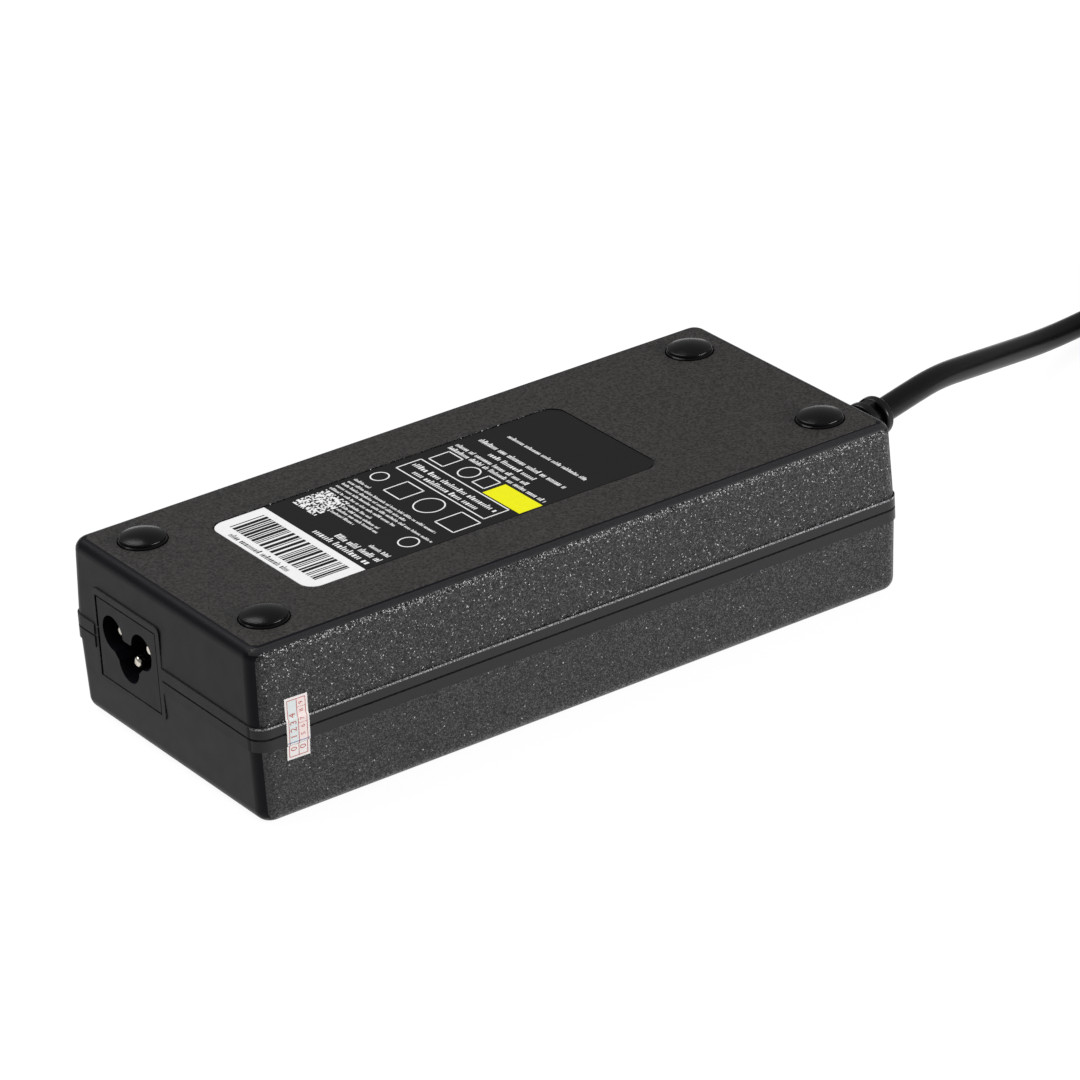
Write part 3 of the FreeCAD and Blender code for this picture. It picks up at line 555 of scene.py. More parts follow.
class ADAPTER_OT_housing(Operator):
    """Gives the two housing halves their moulded finishes"""

    bl_idname = "adapter.housing"
    bl_label = "Housing halves"

    def execute(self, context):
        settings = context.scene.adapter_housing
        # Black ABS from a polished tool: even satin gloss with a faint flow pattern. The faint blue in
        # its black is painted reflection
        satin = skinned("satin_moulded_abs", settings.end_colour, 0.38, 0.4, 0.002, 0.1)
        finishes = [satin, spark_grain_abs(settings), fine_grain_abs(settings), band_abs(settings)]
        for name in ("base_shell", "cover_shell"):
            mesh = NODES[name].data
            mesh.materials.clear()
            for finish in finishes:
                mesh.materials.append(finish)
            for polygon in mesh.polygons:
                polygon.material_index = housing_zone(polygon.center, polygon.normal)
        return {"FINISHED"}


# How far a face has to point up or sideways to belong to a zone
FLAT_FACE = 0.995
ROUNDING = 0.6
LONG_WALL = 0.8
END_FACE = 0.3


def housing_zone(place, facing):
    """0 for the plain ends and the groove, 1 for the long walls, 2 for the label face, 3 for the
    band and the roundings along the long walls."""
    from_seam = abs(place.z - SEAM_Z)
    if abs(facing.z) > FLAT_FACE:
        return 2
    if abs(facing.y) < END_FACE or from_seam < GROOVE_HALF_WIDTH:
        return 0
    if from_seam < BAND_HALF_HEIGHT or abs(facing.z) > ROUNDING:
        return 3
    return 1 if abs(facing.y) > LONG_WALL else 0


def spark_grain_abs(settings):
    """The same ABS from a spark-eroded tool: small pits whose sides lean every way, so each
    throws its own glint. The grains are drawn wider than the real ones, so that they show.
    A share of them is also drawn in a paler colour: painted glints."""
    material = new_material("spark_grain_abs")
    place = add_node(material, "ShaderNodeTexCoord").outputs["Object"]
    pits = add_node(
        material, "ShaderNodeTexVoronoi", {"Scale": 1 / settings.coarse_grain}, {"Vector": place}
    )
    lean = add_node(
        material, "ShaderNodeVectorMath", {1: (-0.5, -0.5, -0.5)}, {0: pits.outputs["Color"]},
        operation="ADD",
    )
    lean = add_node(
        material, "ShaderNodeVectorMath", {"Scale": settings.grain_tilt},
        {0: lean.outputs["Vector"]}, operation="SCALE",
    )
    wall = add_node(material, "ShaderNodeNewGeometry")
    side = add_node(
        material, "ShaderNodeVectorMath",
        links={0: wall.outputs["Normal"], 1: lean.outputs["Vector"]}, operation="ADD",
    )
    side = add_node(
        material, "ShaderNodeVectorMath", links={0: side.outputs["Vector"]}, operation="NORMALIZE"
    )
    # Painted glints: cells whose random value is high blend towards the paler colour
    chance = add_node(
        material, "ShaderNodeSeparateColor", links={"Color": pits.outputs["Color"]}
    )
    painted_glint = add_node(
        material, "ShaderNodeMapRange", {"From Min": 0.55}, {"Value": chance.outputs["Red"]},
        interpolation_type="SMOOTHERSTEP",
    )
    shade = add_node(
        material, "ShaderNodeMix",
        {6: (*settings.wall_colour, 1), 7: (*settings.painted_glint_colour, 1)},
        {"Factor": painted_glint.outputs["Result"]}, data_type="RGBA",
    )
    shader = add_node(
        material, "ShaderNodeBsdfPrincipled", {"Roughness": 0.25, "Specular IOR Level": 0.42},
        {"Base Color": shade.outputs[2], "Normal": side.outputs["Vector"]},
    )
    add_node(material, "ShaderNodeOutputMaterial", links={"Surface": shader.outputs["BSDF"]})
    return material


GLITTER_DROP = 0.1 * MM                 # the glittering line's middle, below the band's edge
GLITTER_HALF_HEIGHT = 0.3 * MM


def band_abs(settings):
    """Smoother moulded ABS for the raised band and the roundings: mottled grey. The glittering
    line along the band's upper edge is drawn as colour, so it stays under any light."""
    material = new_material("mottled_satin_abs")
    place = add_node(material, "ShaderNodeTexCoord").outputs["Object"]
    height = add_node(material, "ShaderNodeSeparateXYZ", links={"Vector": place}).outputs["Z"]
    edge = add_node(
        material, "ShaderNodeMath",
        {1: SEAM_Z + BAND_HALF_HEIGHT - GLITTER_DROP, 2: GLITTER_HALF_HEIGHT},
        {0: height}, operation="COMPARE",
    )
    mottle = add_node(
        material, "ShaderNodeTexNoise", {"Scale": 1 / (0.3 * MM), "Detail": 3.0}, {"Vector": place}
    )
    spots = add_node(
        material, "ShaderNodeMapRange", {"From Min": 0.42, "From Max": 0.6},
        {"Value": mottle.outputs["Fac"]},
    )
    glitter = add_node(
        material, "ShaderNodeMath", links={0: spots.outputs["Result"], 1: edge.outputs[0]},
        operation="MULTIPLY",
    )
    shade = add_node(
        material, "ShaderNodeMix",
        {
            6: (*[0.45 * c for c in settings.band_colour], 1),
            7: (*[1.5 * c for c in settings.band_colour], 1),
        },
        {"Factor": mottle.outputs["Fac"]}, data_type="RGBA",
    )
    shade = add_node(
        material, "ShaderNodeMix", {7: (*linear("#b0b0b2"), 1)},
        {"Factor": glitter.outputs[0], 6: shade.outputs[2]}, data_type="RGBA",
    )
    shader = add_node(
        material, "ShaderNodeBsdfPrincipled", {"Roughness": 0.36, "Specular IOR Level": 0.25},
        {"Base Color": shade.outputs[2]},
    )
    add_node(material, "ShaderNodeOutputMaterial", links={"Surface": shader.outputs["BSDF"]})
    return material


def fine_grain_abs(settings):
    """The same ABS from a finely blasted tool: warm, flat and matt, with a sandy mottle."""
    colours = [[share * c for c in settings.face_colour] for share in (0.2, 1.8)]
    finish = {"Roughness": 0.6, "Specular IOR Level": 0.3}
    width = settings.fine_grain / MM
    return mottled("fine_grain_abs", colours, width, 2.0, finish, 0.04, (0.3, 0.7))


# The rating label: black film with a white end panel, and plain marks in place of words

INK_THICKNESS = 0.02 * MM
LABEL_CORNER = 3 * MM
# Where the print lies, in millimetres
PANEL_EDGE_X = -37.7                    # where the white end panel stops
BAR_X = (-46.9, -39.4)                  # the bar pattern on the white panel
BAR_Y = (14.7, -14.0)
BAR_WIDTHS = (0.3, 0.3, 0.6, 0.9)
BAR_GAPS = (0.3, 0.3, 0.6)
CODE_X = (-32.6, -24.8)                 # the chequered block
CODE_Y = (8.2, 16.4)
CODE_CELLS = 24
CODE_FILLED = 0.55                      # share of the cells that are printed
NOTICE_X = (-9.9, -4.3)                 # the outlined box
NOTICE_Y = (-13.6, 15.2)
YELLOW_X = (-3.8, 1.4)
YELLOW_Y = (-16.2, -4.3)
OUTLINE_WIDTH = 0.28
# Columns of unreadable strokes: x, first y, last y, height and weight of a stroke
WHITE_COLUMNS = [
    (-35.9, 2.8, -15.1, 1.5, 0.34),
    (-33.8, -1.3, -15.1, 1.5, 0.22),
    (-31.6, -8.9, -15.0, 1.0, 0.18),
    (-29.1, 7.8, 0.4, 0.75, 0.13),
    (-27.8, 7.8, -5.6, 0.75, 0.13),
    (-26.6, 7.8, -4.1, 0.75, 0.13),
    (-25.3, 7.8, 0.4, 0.75, 0.13),
    (-23.8, 16.2, -5.1, 0.75, 0.13),
    (-22.4, 16.2, -15.3, 0.75, 0.13),
    (-21.1, 16.2, -4.6, 0.75, 0.13),
    (-19.8, 16.2, -12.7, 0.75, 0.13),
    (-18.4, 16.2, 11.1, 0.75, 0.13),
    (-8.4, 11.3, -9.5, 1.3, 0.3),
    (-6.4, 14.2, -12.2, 1.3, 0.3),
    (2.7, 15.9, -15.3, 1.15, 0.2),
    (4.4, 15.9, -7.2, 1.15, 0.2),
    (6.6, 8.3, -6.1, 1.2, 0.28),
    (8.9, 14.7, -12.8, 1.3, 0.2),
    (13.7, 12.3, -12.8, 1.0, 0.17),
]
BLACK_COLUMNS = [(-48.4, 11.9, -7.6, 1.3, 0.22)]
# Plain rings and rounded squares: x, y and half width
RINGS = [(-14.3, 14.1, 1.9), (-14.3, -2.3, 3.1), (-25.6, -12.4, 2.1), (-0.8, 4.4, 2.3)]
SQUARES = [(-14.3, 6.1, 2.7), (-14.3, -11.6, 3.0), (-0.8, 12.1, 2.3), (-0.8, -1.2, 1.9)]


class ADAPTER_OT_rating_label(Operator):
    """Makes the label film and its print"""

    bl_idname = "adapter.rating_label"
    bl_label = "Rating label"

    def execute(self, context):
        settings = context.scene.adapter_label
        # Polyester film, screen printed black: silk matt, with faint streaks in its gloss
        black = skinned("printed_polyester_film", settings.film_colour, 0.5, 0.5, 0.001, 0.2)
        film = new_piece("label_film", film_mesh(), black)
        film.data.materials.append(ink_material("white_label_ink", settings.white_ink))
        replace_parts(film, "rating_label")
        chance = random.Random(settings.seed)
        inks = {
            "label_white_print": (white_print(chance), settings.white_ink),
            "label_black_print": (black_print(chance), settings.film_colour),
            "label_yellow_field": (yellow_print(), settings.yellow_ink),
        }
        for name, (mesh, colour) in inks.items():
            new_piece(name, mesh, ink_material(name + "_ink", colour))
        return {"FINISHED"}


def film_mesh():
    """The film with rounded corners; its end panel takes the second material."""
    bm = bmesh.new()
    plate(bm, *zip(LABEL_LOW, LABEL_HIGH))
    round_edges(bm, [e for e in bm.edges if runs_along(e, 2)], LABEL_CORNER, 10)
    cut_at(bm, (PANEL_EDGE_X * MM, 0, 0), (1, 0, 0))
    for face in bm.faces:
        face.material_index = int(face.calc_center_median().x < PANEL_EDGE_X * MM)
    return mesh_from(bm, "label_film")


def ink(bm, x, y):
    """A patch of print on the label, between two x and two y in millimetres."""
    z = (LABEL_HIGH.z - INK_THICKNESS / 2, LABEL_HIGH.z + INK_THICKNESS / 2)
    plate(bm, sorted(v * MM for v in x), sorted(v * MM for v in y), z)


# Proportions of the strokes
LOW_STROKE = 0.68                       # most strokes' share of the line's height
HEAVY_STROKE = 1.8                      # a heavy stroke's thickness over the line's weight
STROKE_GAP = 1.1                        # the gap after a stroke, over the line's weight
WORD_GAP = 0.45                         # what is added after a word, over the line's height


def stroke_column(bm, column, chance):
    """A line of unreadable strokes in words, its reading direction towards -Y."""
    x, y, last, height, weight = column
    foot = x - height / 2
    while y > last:
        for _ in range(chance.randint(3, 13)):
            reach = height * chance.choice((LOW_STROKE, LOW_STROKE, LOW_STROKE, 1.0))
            thick = weight * chance.choice((1.0, 1.0, HEAVY_STROKE))
            ink(bm, (foot, foot + reach), (y - thick, y))
            y -= thick + STROKE_GAP * weight
            if y < last:
                return
        y -= WORD_GAP * height


def outline(bm, x, y, width):
    """A rectangular frame of print."""
    for side in x:
        ink(bm, (side - width / 2, side + width / 2), y)
    for side in y:
        ink(bm, x, (side - width / 2, side + width / 2))


def ring_of_print(bm, x, y, radius):
    """A ring spun from one small square section."""
    part = bmesh.new()
    ink(part, (radius - OUTLINE_WIDTH, radius), (0, 0.01))
    section = [f for f in part.faces if f.normal.y < -0.5]
    bmesh.ops.delete(part, geom=[f for f in part.faces if f not in section], context="FACES")
    bmesh.ops.delete(part, geom=[v for v in part.verts if not v.link_faces], context="VERTS")
    bmesh.ops.spin(
        part, geom=part.verts[:] + part.edges[:] + part.faces[:], cent=(0, 0, 0), axis=(0, 0, 1),
        dvec=(0, 0, 0), angle=math.tau, steps=32, use_merge=True, use_duplicate=False,
    )
    bmesh.ops.remove_doubles(part, verts=part.verts, dist=0.001 * MM)
    bmesh.ops.recalc_face_normals(part, faces=part.faces)
    bmesh.ops.translate(part, verts=part.verts, vec=(x * MM, y * MM, 0))
    join_mesh(bm, part)


def white_print(chance):
    bm = bmesh.new()
    for column in WHITE_COLUMNS:
        stroke_column(bm, column, chance)
    outline(bm, NOTICE_X, NOTICE_Y, OUTLINE_WIDTH)
    for x, y, half in SQUARES:
        outline(bm, (x - half, x + half), (y - half, y + half), OUTLINE_WIDTH)
    for x, y, radius in RINGS:
        ring_of_print(bm, x, y, radius)
    chequer(bm, chance)
    return mesh_from(bm, "label_white_print")


def chequer(bm, chance):
    """A block of random cells, merged along each row."""
    cell = (CODE_X[1] - CODE_X[0]) / CODE_CELLS
    for row in range(CODE_CELLS):
        y = CODE_Y[0] + row * cell
        start = None
        for column in range(CODE_CELLS + 1):
            filled = column < CODE_CELLS and chance.random() < CODE_FILLED
            if filled and start is None:
                start = column
            elif not filled and start is not None:
                ink(bm, (CODE_X[0] + start * cell, CODE_X[0] + column * cell), (y, y + cell))
                start = None


def black_print(chance):
    """The bars and the strokes on the white end panel."""
    bm = bmesh.new()
    y = BAR_Y[0]
    while y > BAR_Y[1] + 0.7:           # room for the last bar and a gap
        width = chance.choice(BAR_WIDTHS)
        ink(bm, BAR_X, (y - width, y))
        y -= width + chance.choice(BAR_GAPS)
    ink(bm, BAR_X, (BAR_Y[1], BAR_Y[1] + BAR_WIDTHS[0]))
    for column in BLACK_COLUMNS:
        stroke_column(bm, column, chance)
    return mesh_from(bm, "label_black_print")


def yellow_print():
    bm = bmesh.new()
    ink(bm, YELLOW_X, YELLOW_Y)
    return mesh_from(bm, "label_yellow_field")


def ink_material(name, colour):
    """Screen printed ink or coated paper: matt and even, thinning a little in places."""
    thin = [0.9 * c for c in colour]
    return mottled(name, (thin, colour), 0.8, 2.0, {"Roughness": 0.55, "Specular IOR Level": 0.2})


# The paper seal over the seam

PAPER_THICKNESS = 0.1 * MM
SEAL_SKEW = math.radians(1.5)
SEAL_FOLD = 0.35 * MM                   # height over which the paper steps on to the band
SEAL_SIDE_MARGIN = 0.65 * MM
SEAL_END_MARGIN = 0.6 * MM
SEAL_FOOT_HEIGHT = 2.9 * MM
WIDE_COLUMN_SHARE = 0.52
FRAME_HALF_LINE = 0.07 * MM
FOLD_HALF_LINE = 0.09 * MM
# Digits up each column: how many, size, first one's height over the fold line, and step
WIDE_DIGITS = (4, 1.9 * MM, 1.1 * MM, 1.35 * MM)
NARROW_DIGITS = (5, 1.25 * MM, 1.2 * MM, 1.5 * MM)
FOOT_DIGIT_SIZE = 1.8 * MM
SEAL_INK_Y = (-PAPER_THICKNESS - INK_THICKNESS / 2, -PAPER_THICKNESS + INK_THICKNESS / 2)


class ADAPTER_OT_seal_sticker(Operator):
    """Makes the paper seal, folded over the band, with its plain numbers"""

    bl_idname = "adapter.seal_sticker"
    bl_label = "Paper seal"

    def execute(self, context):
        # Coated label paper with two faintly tinted columns
        tints = {
            "coated_paper": "#f0ebe9", "cool_tinted_paper": "#dfe6e5", "warm_tinted_paper": "#f4e4e1",
        }
        papers = [ink_material(name, linear(tint)) for name, tint in tints.items()]
        paper = new_piece("paper_seal", seal_paper(), papers[0])
        for tinted in papers[1:]:
            paper.data.materials.append(tinted)
        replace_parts(paper, "seal_sticker")
        new_piece("seal_print", seal_print(), ink_material("red_seal_ink", linear("#b8605c")))
        # A thin blue-grey line drawn across the paper at its fold
        new_piece("seal_line", seal_line(), ink_material("blue_grey_fold_line", linear("#7d86ad")))
        return {"FINISHED"}


def wall_surface(z):
    """The long wall's outside at a height, with the step of the band."""
    off = abs(z - SEAM_Z)
    wall = WALL_Y + off * DRAFT
    band = WALL_Y - BAND_PROUD
    share = min(max((off - BAND_HALF_HEIGHT) / SEAL_FOLD, 0), 1)
    return band + (wall - band) * share


def lay_on_wall(bm):
    """Skews a flat mesh in the XZ plane, cuts it at the folds and lays it on the wall."""
    centre = (STICKER_LOW + STICKER_HIGH) / 2
    bmesh.ops.rotate(
        bm, verts=bm.verts, cent=(centre.x, 0, centre.z), matrix=Matrix.Rotation(SEAL_SKEW, 3, "Y"),
    )
    for side in (-1, 1):
        for off in (BAND_HALF_HEIGHT, BAND_HALF_HEIGHT + SEAL_FOLD):
            cut_at(bm, (0, 0, SEAM_Z + side * off), (0, 0, 1))
    for vertex in bm.verts:
        vertex.co.y += wall_surface(vertex.co.z)


def seal_columns():
    """The x of the frame's sides and divider, and the z of its foot, fold line and head."""
    low = STICKER_LOW.x + SEAL_SIDE_MARGIN
    high = STICKER_HIGH.x - SEAL_SIDE_MARGIN
    foot = STICKER_LOW.z + SEAL_END_MARGIN
    divide = low + WIDE_COLUMN_SHARE * (high - low)
    return (low, divide, high), (foot, foot + SEAL_FOOT_HEIGHT, STICKER_HIGH.z - SEAL_END_MARGIN)


def seal_paper():
    """The paper, whose two columns above the fold line take the tints."""
    bm = bmesh.new()
    inset = 0.15 * MM
    x = (STICKER_LOW.x + inset, STICKER_HIGH.x - inset)
    z = (STICKER_LOW.z + inset / 2, STICKER_HIGH.z - inset / 2)
    plate(bm, x, (-PAPER_THICKNESS, 0), z)
    sides, levels = seal_columns()
    for side in sides:
        cut_at(bm, (side, 0, 0), (1, 0, 0))
    for level in levels:
        cut_at(bm, (0, 0, level), (0, 0, 1))
    for face in bm.faces:
        middle = face.calc_center_median()
        if levels[1] < middle.z < levels[2] and sides[0] < middle.x < sides[2]:
            face.material_index = 1 if middle.x < sides[1] else 2
    lay_on_wall(bm)
    return mesh_from(bm, "paper_seal")


def seal_line():
    """The line across the paper where it folds over the seam."""
    bm = bmesh.new()
    level = seal_columns()[1][1]
    inset = 0.2 * MM
    x = (STICKER_LOW.x + inset, STICKER_HIGH.x - inset)
    plate(bm, x, SEAL_INK_Y, (level - FOLD_HALF_LINE, level + FOLD_HALF_LINE))
    lay_on_wall(bm)
    return mesh_from(bm, "seal_line")


def seal_print():
    """A thin frame, a divider and plain numbers that read upwards."""
    bm = bmesh.new()
    (left, divide, right), (foot, fold, head) = seal_columns()
    line = FRAME_HALF_LINE
    for side in (left, divide, right):
        plate(bm, (side - line, side + line), SEAL_INK_Y, (foot, head))
    for level in (foot, head):
        plate(bm, (left, right), SEAL_INK_Y, (level - line, level + line))
    wide = (left + divide) / 2
    narrow = (divide + right) / 2
    count, size, first, step = WIDE_DIGITS
    for i in range(count):
        number(bm, str(i + 1), size, (wide, fold + first + step * i))
    count, size, first, step = NARROW_DIGITS
    for i in range(count):
        level = fold + first + step * i
        number(bm, str(i + 5), size, (narrow, level))
        if i % 2:
            split = level + step / 2
            plate(bm, (divide, right), SEAL_INK_Y, (split - line / 2, split + line / 2))
    for place in (wide, narrow):
        number(bm, "0", FOOT_DIGIT_SIZE, (place, (foot + fold) / 2))
    lay_on_wall(bm)
    return mesh_from(bm, "seal_print")


def number(bm, digit, size, place):
    """A printed digit that reads upwards, centred on a place given as (x, z)."""
    text = bpy.data.curves.new("digit", "FONT")
    text.body = digit
    text.size = size
    text.extrude = INK_THICKNESS / 2
    text.align_x = "CENTER"
    text.align_y = "CENTER"
    text.resolution_u = 3
    holder = bpy.data.objects.new("digit", text)
    bpy.context.scene.collection.objects.link(holder)
    mesh = bpy.data.meshes.new_from_object(holder.evaluated_get(bpy.context.evaluated_depsgraph_get()))
    upright = Matrix.Rotation(-math.pi / 2, 4, "Y") @ Matrix.Rotation(math.pi / 2, 4, "X")
    mesh.transform(Matrix.Translation((place[0], -PAPER_THICKNESS, place[1])) @ upright)
    bm.from_mesh(mesh)
    bpy.data.objects.remove(holder)
    bpy.data.curves.remove(text)
    bpy.data.meshes.remove(mesh)


# The rubber feet, the inlet, the strain relief, the tie and the plug

class ADAPTER_OT_feet(Operator):
    """Gives the four feet their rubber finish"""

    bl_idname = "adapter.feet"
    bl_label = "Rubber feet"

    def execute(self, context):
        # Moulded black rubber: smooth enough to mirror what lies low behind it
        rubber = skinned("moulded_black_rubber", linear("#08080a"), 0.2, 0.35, 0.015, 0.2)
        finish_nodes(rubber, "foot_1", "foot_2", "foot_3", "foot_4")
        return {"FINISHED"}


class ADAPTER_OT_mains_inlet(Operator):
    """Finishes the mains inlet, its three pins and their wires"""

    bl_idname = "adapter.mains_inlet"
    bl_label = "Mains inlet"

    def execute(self, context):
        # Glass-filled nylon: an even satin black, as the end wall round it, with the same faint blue
        # of painted reflection
        nylon = skinned("moulded_glass_filled_nylon", linear("#0e0d13"), 0.38, 0.3, 0.003, 0.09)
        finish_nodes(nylon, "inlet_body")
        # Bright nickel plate on turned brass: warm white metal with fine turning marks
        nickel = worked_metal("nickel_plated_brass", "#d3cdc2", 0.25, NICKEL_GLOSS)
        finish_nodes(nickel, "inlet_line_pin", "inlet_neutral_pin", "inlet_earth_pin")
        # Extruded wire insulation, glossy and slightly uneven
        white = skinned("white_wire_insulation", linear("#d8d6d0"), 0.35, 0.5, 0.01)
        finish_nodes(white, "inlet_wires")
        return {"FINISHED"}


class ADAPTER_OT_strain_relief(Operator):
    """Finishes the bent strain relief and the wires behind it"""

    bl_idname = "adapter.strain_relief"
    bl_label = "Strain relief"

    def execute(self, context):
        # Soft PVC moulded on to the lead: satin black with a soft skin
        sleeve = skinned("moulded_soft_pvc", linear("#0b0b0c"), 0.3, 0.4, 0.012, 0.22)
        finish_nodes(sleeve, "strain_relief")
        # Extruded wire insulation, as on the wires at the inlet
        red = skinned("red_wire_insulation", linear("#9c2a22"), 0.35, 0.5, 0.01)
        finish_nodes(red, "output_wires")
        return {"FINISHED"}


# The tie, in millimetres
TIE_THICKNESS = 0.8
TIE_HALF_WIDTH = 4.0
TIE_SLACK = 0.1
TIE_INNER_CORNER = 1.6
FLAP_INSET = 3.0                        # how far the free end stays inside the band's ends
FLAP_CORNER = 1.2
FLAP_EDGE_ROUND = 0.3


class ADAPTER_OT_cord_tie(Operator):
    """Makes the hook-and-loop tie round the put-away coil"""

    bl_idname = "adapter.cord_tie"
    bl_label = "Hook-and-loop tie"

    def execute(self, context):
        mesh = tie_mesh(context.scene.adapter_lead.diameter / MM / 2)
        # Knitted nylon loop pile: dull black with a soft fuzzy sheen and a lumpy face
        finish = {"Roughness": 0.9, "Specular IOR Level": 0.2, "Sheen Weight": 0.15}
        blacks = (linear("#0c0c0d"), linear("#2a2a2d"))
        pile = mottled("knitted_loop_pile", blacks, 0.45, 3.0, finish, 0.25)
        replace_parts(new_piece("hook_and_loop_tie", mesh, pile), "cord_tie")
        return {"FINISHED"}


def tie_mesh(cord_radius):
    """A soft band pulled round all the turns at one side of the coil, with its end laid over."""
    shift = (coil_distance(1) - coil_distance(0)) / 2
    inner_turn = (coil_distance(0) + coil_distance(1)) / 2
    outer_turn = (coil_distance(COIL_HALF_TURNS_OUT - 1) + coil_distance(COIL_HALF_TURNS_OUT)) / 2
    near = math.sqrt(inner_turn**2 - (TIE_HALF_WIDTH + shift) ** 2) - cord_radius - TIE_SLACK
    far = outer_turn + cord_radius + TIE_SLACK
    low = COIL_BOTTOM_Z - cord_radius
    high = COIL_BOTTOM_Z + COIL_PITCH + cord_radius + TIE_SLACK / 2
    strap = bmesh.new()
    join_mesh(strap, tie_band((-far, -near), (low, high)))
    join_mesh(strap, tie_flap((-far + FLAP_INSET, -near - FLAP_INSET), high + TIE_THICKNESS))
    middle = coil_frame()[0] * MM
    place = Matrix.Translation(middle) @ Matrix.Rotation(math.radians(LEAD_HEADING), 4, "Z")
    bmesh.ops.transform(strap, matrix=place @ Matrix.Scale(MM, 4), verts=strap.verts)
    return mesh_from(strap, "hook_and_loop_tie", math.radians(50))


def tie_band(x, z):
    """The closed band: the wall of a round-cornered slot, thickened outwards."""
    bm = bmesh.new()
    plate(bm, x, (-TIE_HALF_WIDTH, TIE_HALF_WIDTH), z)
    bmesh.ops.delete(bm, geom=[f for f in bm.faces if abs(f.normal.y) > 0.5], context="FACES_ONLY")
    round_edges(bm, [e for e in bm.edges if runs_along(e, 1)], TIE_INNER_CORNER, 6)
    bmesh.ops.recalc_face_normals(bm, faces=bm.faces)
    bmesh.ops.solidify(bm, geom=bm.faces[:], thickness=-TIE_THICKNESS)
    bmesh.ops.recalc_face_normals(bm, faces=bm.faces)
    return bm


def tie_flap(x, z):
    """The free end, pressed on to the band, with round corners and a rounded upper edge."""
    bm = bmesh.new()
    plate(bm, x, (-TIE_HALF_WIDTH, TIE_HALF_WIDTH), (z, z + TIE_THICKNESS))
    round_edges(bm, [e for e in bm.edges if runs_along(e, 2)], FLAP_CORNER, 5)
    top = [e for e in bm.edges if min(v.co.z for v in e.verts) > z + TIE_THICKNESS / 2]
    round_edges(bm, top, FLAP_EDGE_ROUND, 3)
    return bm


class ADAPTER_OT_barrel_plug(Operator):
    """Finishes the barrel plug"""

    bl_idname = "adapter.barrel_plug"
    bl_label = "Barrel plug"

    def execute(self, context):
        # The grip is moulded of the same soft PVC as the strain relief
        grip = skinned("moulded_soft_pvc_grip", linear("#0e0e0f"), 0.4, 0.35, 0.012)
        finish_nodes(grip, "plug_grip")
        # Bright nickel plate on brass, as on the inlet's pins
        nickel = worked_metal("nickel_plated_barrel", "#cfcac0", 0.25, NICKEL_GLOSS)
        finish_nodes(nickel, "plug_barrel", "plug_centre_contact")
        # Black nylon between barrel and contact, smooth from the mould
        nylon = skinned("moulded_black_nylon", linear("#101012"), 0.35, 0.3, 0.003)
        finish_nodes(nylon, "plug_insulator")
        return {"FINISHED"}


# Inside the housing

# Skins of the inner pieces: colour, roughness, grain width and depth in millimetres, and pieces
INNER_SKINS = [
    # Epoxy moulding compound: dull black with a sandy grain
    ("moulded_epoxy", ("#17171a", 0.55, 0.3, 0.01), [
        "fuse", "bridge_rectifier", "power_transistors", "control_chips", "output_rectifier",
        "optocoupler",
    ]),
    # Epoxy powder coat on discs: glossy and lumpy
    ("dipped_blue_epoxy", ("#16327d", 0.25, 1.2, 0.05), ["varistor", "y_capacitors"]),
    ("dipped_green_epoxy", ("#21502b", 0.3, 1.2, 0.05), ["thermistor"]),
    # Film capacitor's polypropylene box: smooth yellow
    ("moulded_yellow_box", ("#c99a14", 0.35, 0.8, 0.005), ["x_capacitor"]),
    # Shrunk PVC sleeve over an aluminium can: glossy dark blue
    ("shrunk_pvc_sleeve", ("#14161f", 0.3, 2.0, 0.01), ["bulk_capacitor", "output_capacitors"]),
    # Phenolic former: dull dark brown
    ("moulded_phenolic", ("#1d1512", 0.5, 0.4, 0.01), ["transformer_bobbin"]),
    # Folded polyester sheet: milky, smooth
    ("polyester_sheet", ("#b9b8ae", 0.3, 3.0, 0.005), [
        "board_insulating_sheet", "component_insulating_liner",
    ]),
    # Silicone gap pad: soft matt grey blue with a cast skin
    ("cast_silicone_pad", ("#7f8b99", 0.7, 0.5, 0.02), ["thermal_pad"]),
]


class ADAPTER_OT_components(Operator):
    """Finishes the board and its components"""

    bl_idname = "adapter.components"
    bl_label = "Board and components"

    def execute(self, context):
        for name, (colour, *skin), pieces in INNER_SKINS:
            finish_nodes(skinned(name, linear(colour), *skin), *pieces)
        finish_nodes(solder_mask(), "circuit_board")
        # Sintered and ground ferrite: dark grey ceramic with light specks
        greys = (linear("#1c1c1f"), linear("#47474b"))
        ferrite = mottled("ground_ferrite", greys, 0.2, 3.0, {"Roughness": 0.45})
        finish_nodes(
            ferrite, "filter_choke_core", "pfc_choke_core", "transformer_core", "output_choke"
        )
        finish_nodes(
            copper_winding(), "filter_choke_winding", "pfc_choke_winding", "transformer_winding"
        )
        return {"FINISHED"}


def solder_mask():
    """Green solder mask on glass epoxy: glossy, with the cloth's weave just showing through."""
    material = new_material("solder_mask_on_glass_epoxy")
    place = add_node(material, "ShaderNodeTexCoord").outputs["Object"]
    warp, weft = [
        add_node(
            material, "ShaderNodeTexWave", {"Scale": 1 / (3 * MM)}, {"Vector": place},
            bands_direction=axis,
        ).outputs["Fac"]
        for axis in "XY"
    ]
    weave = add_node(material, "ShaderNodeMath", links={0: warp, 1: weft}, operation="MULTIPLY")
    shade = add_node(
        material, "ShaderNodeMix",
        {6: (*linear("#0f4a26"), 1), 7: (*linear("#1b6236"), 1)},
        {"Factor": weave.outputs[0]}, data_type="RGBA",
    )
    shader = add_node(
        material, "ShaderNodeBsdfPrincipled", {"Roughness": 0.3}, {"Base Color": shade.outputs[2]}
    )
    add_node(material, "ShaderNodeOutputMaterial", links={"Surface": shader.outputs["BSDF"]})
    return material


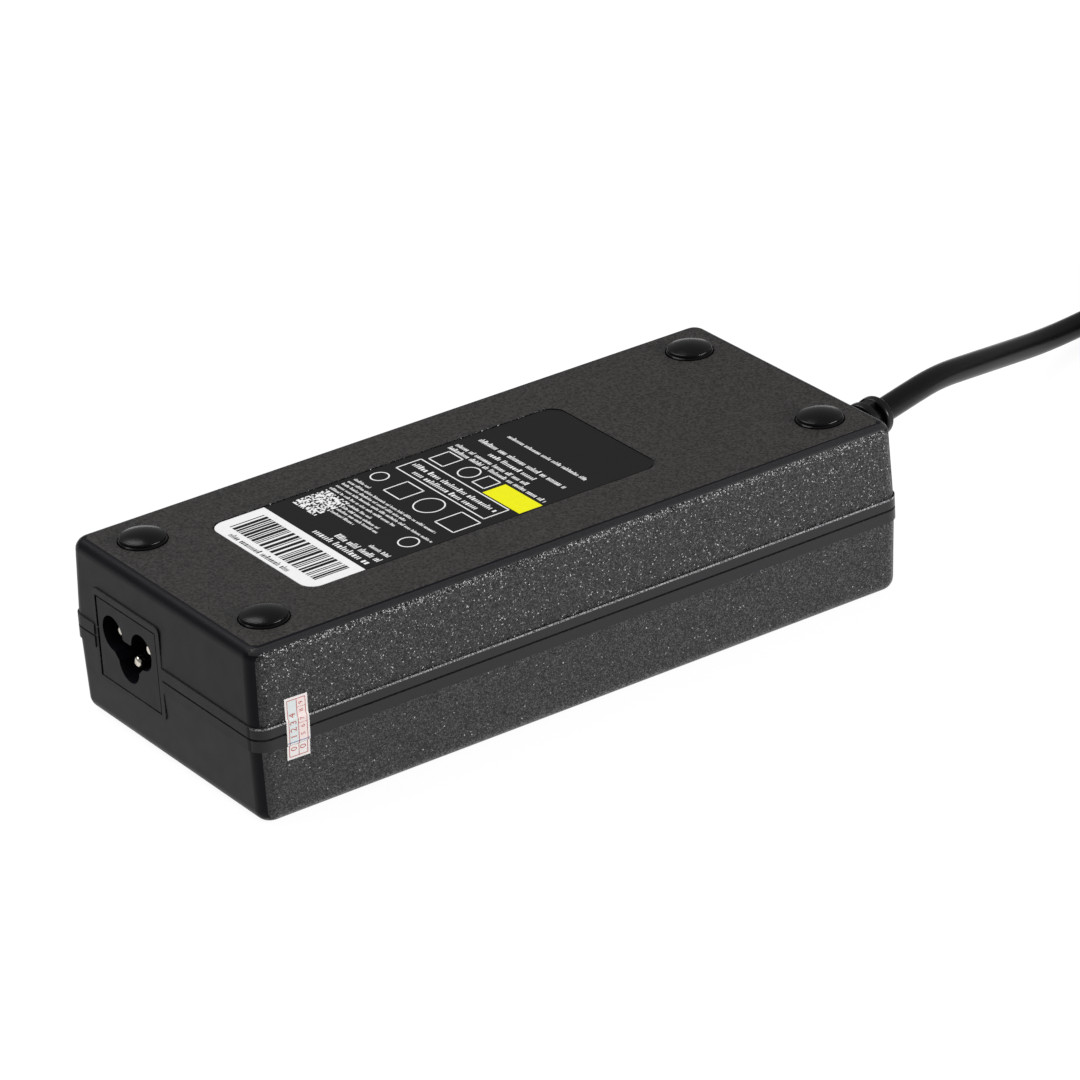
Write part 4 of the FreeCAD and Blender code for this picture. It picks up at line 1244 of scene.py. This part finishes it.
def copper_winding():
    """Enamelled copper wire, wound: round turns half a millimetre apart under a clear varnish. The
    copper is drawn darker in the grooves between the turns and paler on their crowns: painted shade
    and painted highlight.
    """
    material = new_material("wound_enamelled_copper")
    place = add_node(material, "ShaderNodeTexCoord").outputs["Object"]
    turns = add_node(
        material, "ShaderNodeTexWave", {"Scale": 1 / (10 * MM) * math.pi, "Distortion": 0.3},
        {"Vector": place}, bands_direction="Z",
    )
    # Painted shade and highlight: dark copper in the grooves between the turns, pale copper on their
    # crowns
    shade = add_node(
        material, "ShaderNodeMix",
        {6: (*linear("#5a2410"), 1), 7: (*linear("#c8703c"), 1)},
        {"Factor": turns.outputs["Fac"]}, data_type="RGBA",
    )
    wire = add_node(
        material, "ShaderNodeBump", {"Distance": 0.2 * MM}, {"Height": turns.outputs["Fac"]}
    )
    shader = add_node(
        material, "ShaderNodeBsdfPrincipled", {"Roughness": 0.3, "Metallic": 0.9},
        {"Base Color": shade.outputs[2], "Normal": wire.outputs["Normal"]},
    )
    add_node(material, "ShaderNodeOutputMaterial", links={"Surface": shader.outputs["BSDF"]})
    return material


class ADAPTER_OT_cooling(Operator):
    """Finishes the heat spreaders and heat sinks"""

    bl_idname = "adapter.cooling"
    bl_label = "Heat spreaders"

    def execute(self, context):
        # Mill-finish sheet: pale grey metal with fine rolling lines drawn out along X
        sheet = worked_metal("mill_finish_aluminium", "#d6d7d9", 0.2, (0.28, 0.5), (0.02, 1, 1))
        finish_nodes(
            sheet, "base_heat_spreader", "cover_heat_spreader", "primary_heat_sink",
            "secondary_heat_sink",
        )
        return {"FINISHED"}


class ADAPTER_PT_panel(Panel):
    """Lists the adapter's operators in the sidebar"""

    bl_label = "Power adapter"
    bl_idname = "ADAPTER_PT_panel"
    bl_space_type = "VIEW_3D"
    bl_region_type = "UI"
    bl_category = "Adapter"

    def draw(self, context):
        for operator in OPERATORS:
            self.layout.operator(operator.bl_idname)


OPERATORS = (
    ADAPTER_OT_studio,
    ADAPTER_OT_cord_tie,
    ADAPTER_OT_output_lead,
    ADAPTER_OT_housing,
    ADAPTER_OT_rating_label,
    ADAPTER_OT_seal_sticker,
    ADAPTER_OT_feet,
    ADAPTER_OT_mains_inlet,
    ADAPTER_OT_strain_relief,
    ADAPTER_OT_barrel_plug,
    ADAPTER_OT_components,
    ADAPTER_OT_cooling,
)
SETTINGS = {
    "adapter_stage": StageSettings,
    "adapter_housing": HousingSettings,
    "adapter_label": LabelSettings,
    "adapter_lead": LeadSettings,
}


def register():
    for settings in SETTINGS.values():
        bpy.utils.register_class(settings)
    for operator in OPERATORS:
        bpy.utils.register_class(operator)
    bpy.utils.register_class(ADAPTER_PT_panel)
    for name, settings in SETTINGS.items():
        setattr(bpy.types.Scene, name, PointerProperty(type=settings))


def unregister():
    for name in SETTINGS:
        delattr(bpy.types.Scene, name)
    bpy.utils.unregister_class(ADAPTER_PT_panel)
    for operator in reversed(OPERATORS):
        bpy.utils.unregister_class(operator)
    for settings in reversed(SETTINGS.values()):
        bpy.utils.unregister_class(settings)


def main():
    register()
    for operator in OPERATORS:
        group, name = operator.bl_idname.split(".")
        getattr(getattr(bpy.ops, group), name)()


if __name__ == "__main__":
    main()
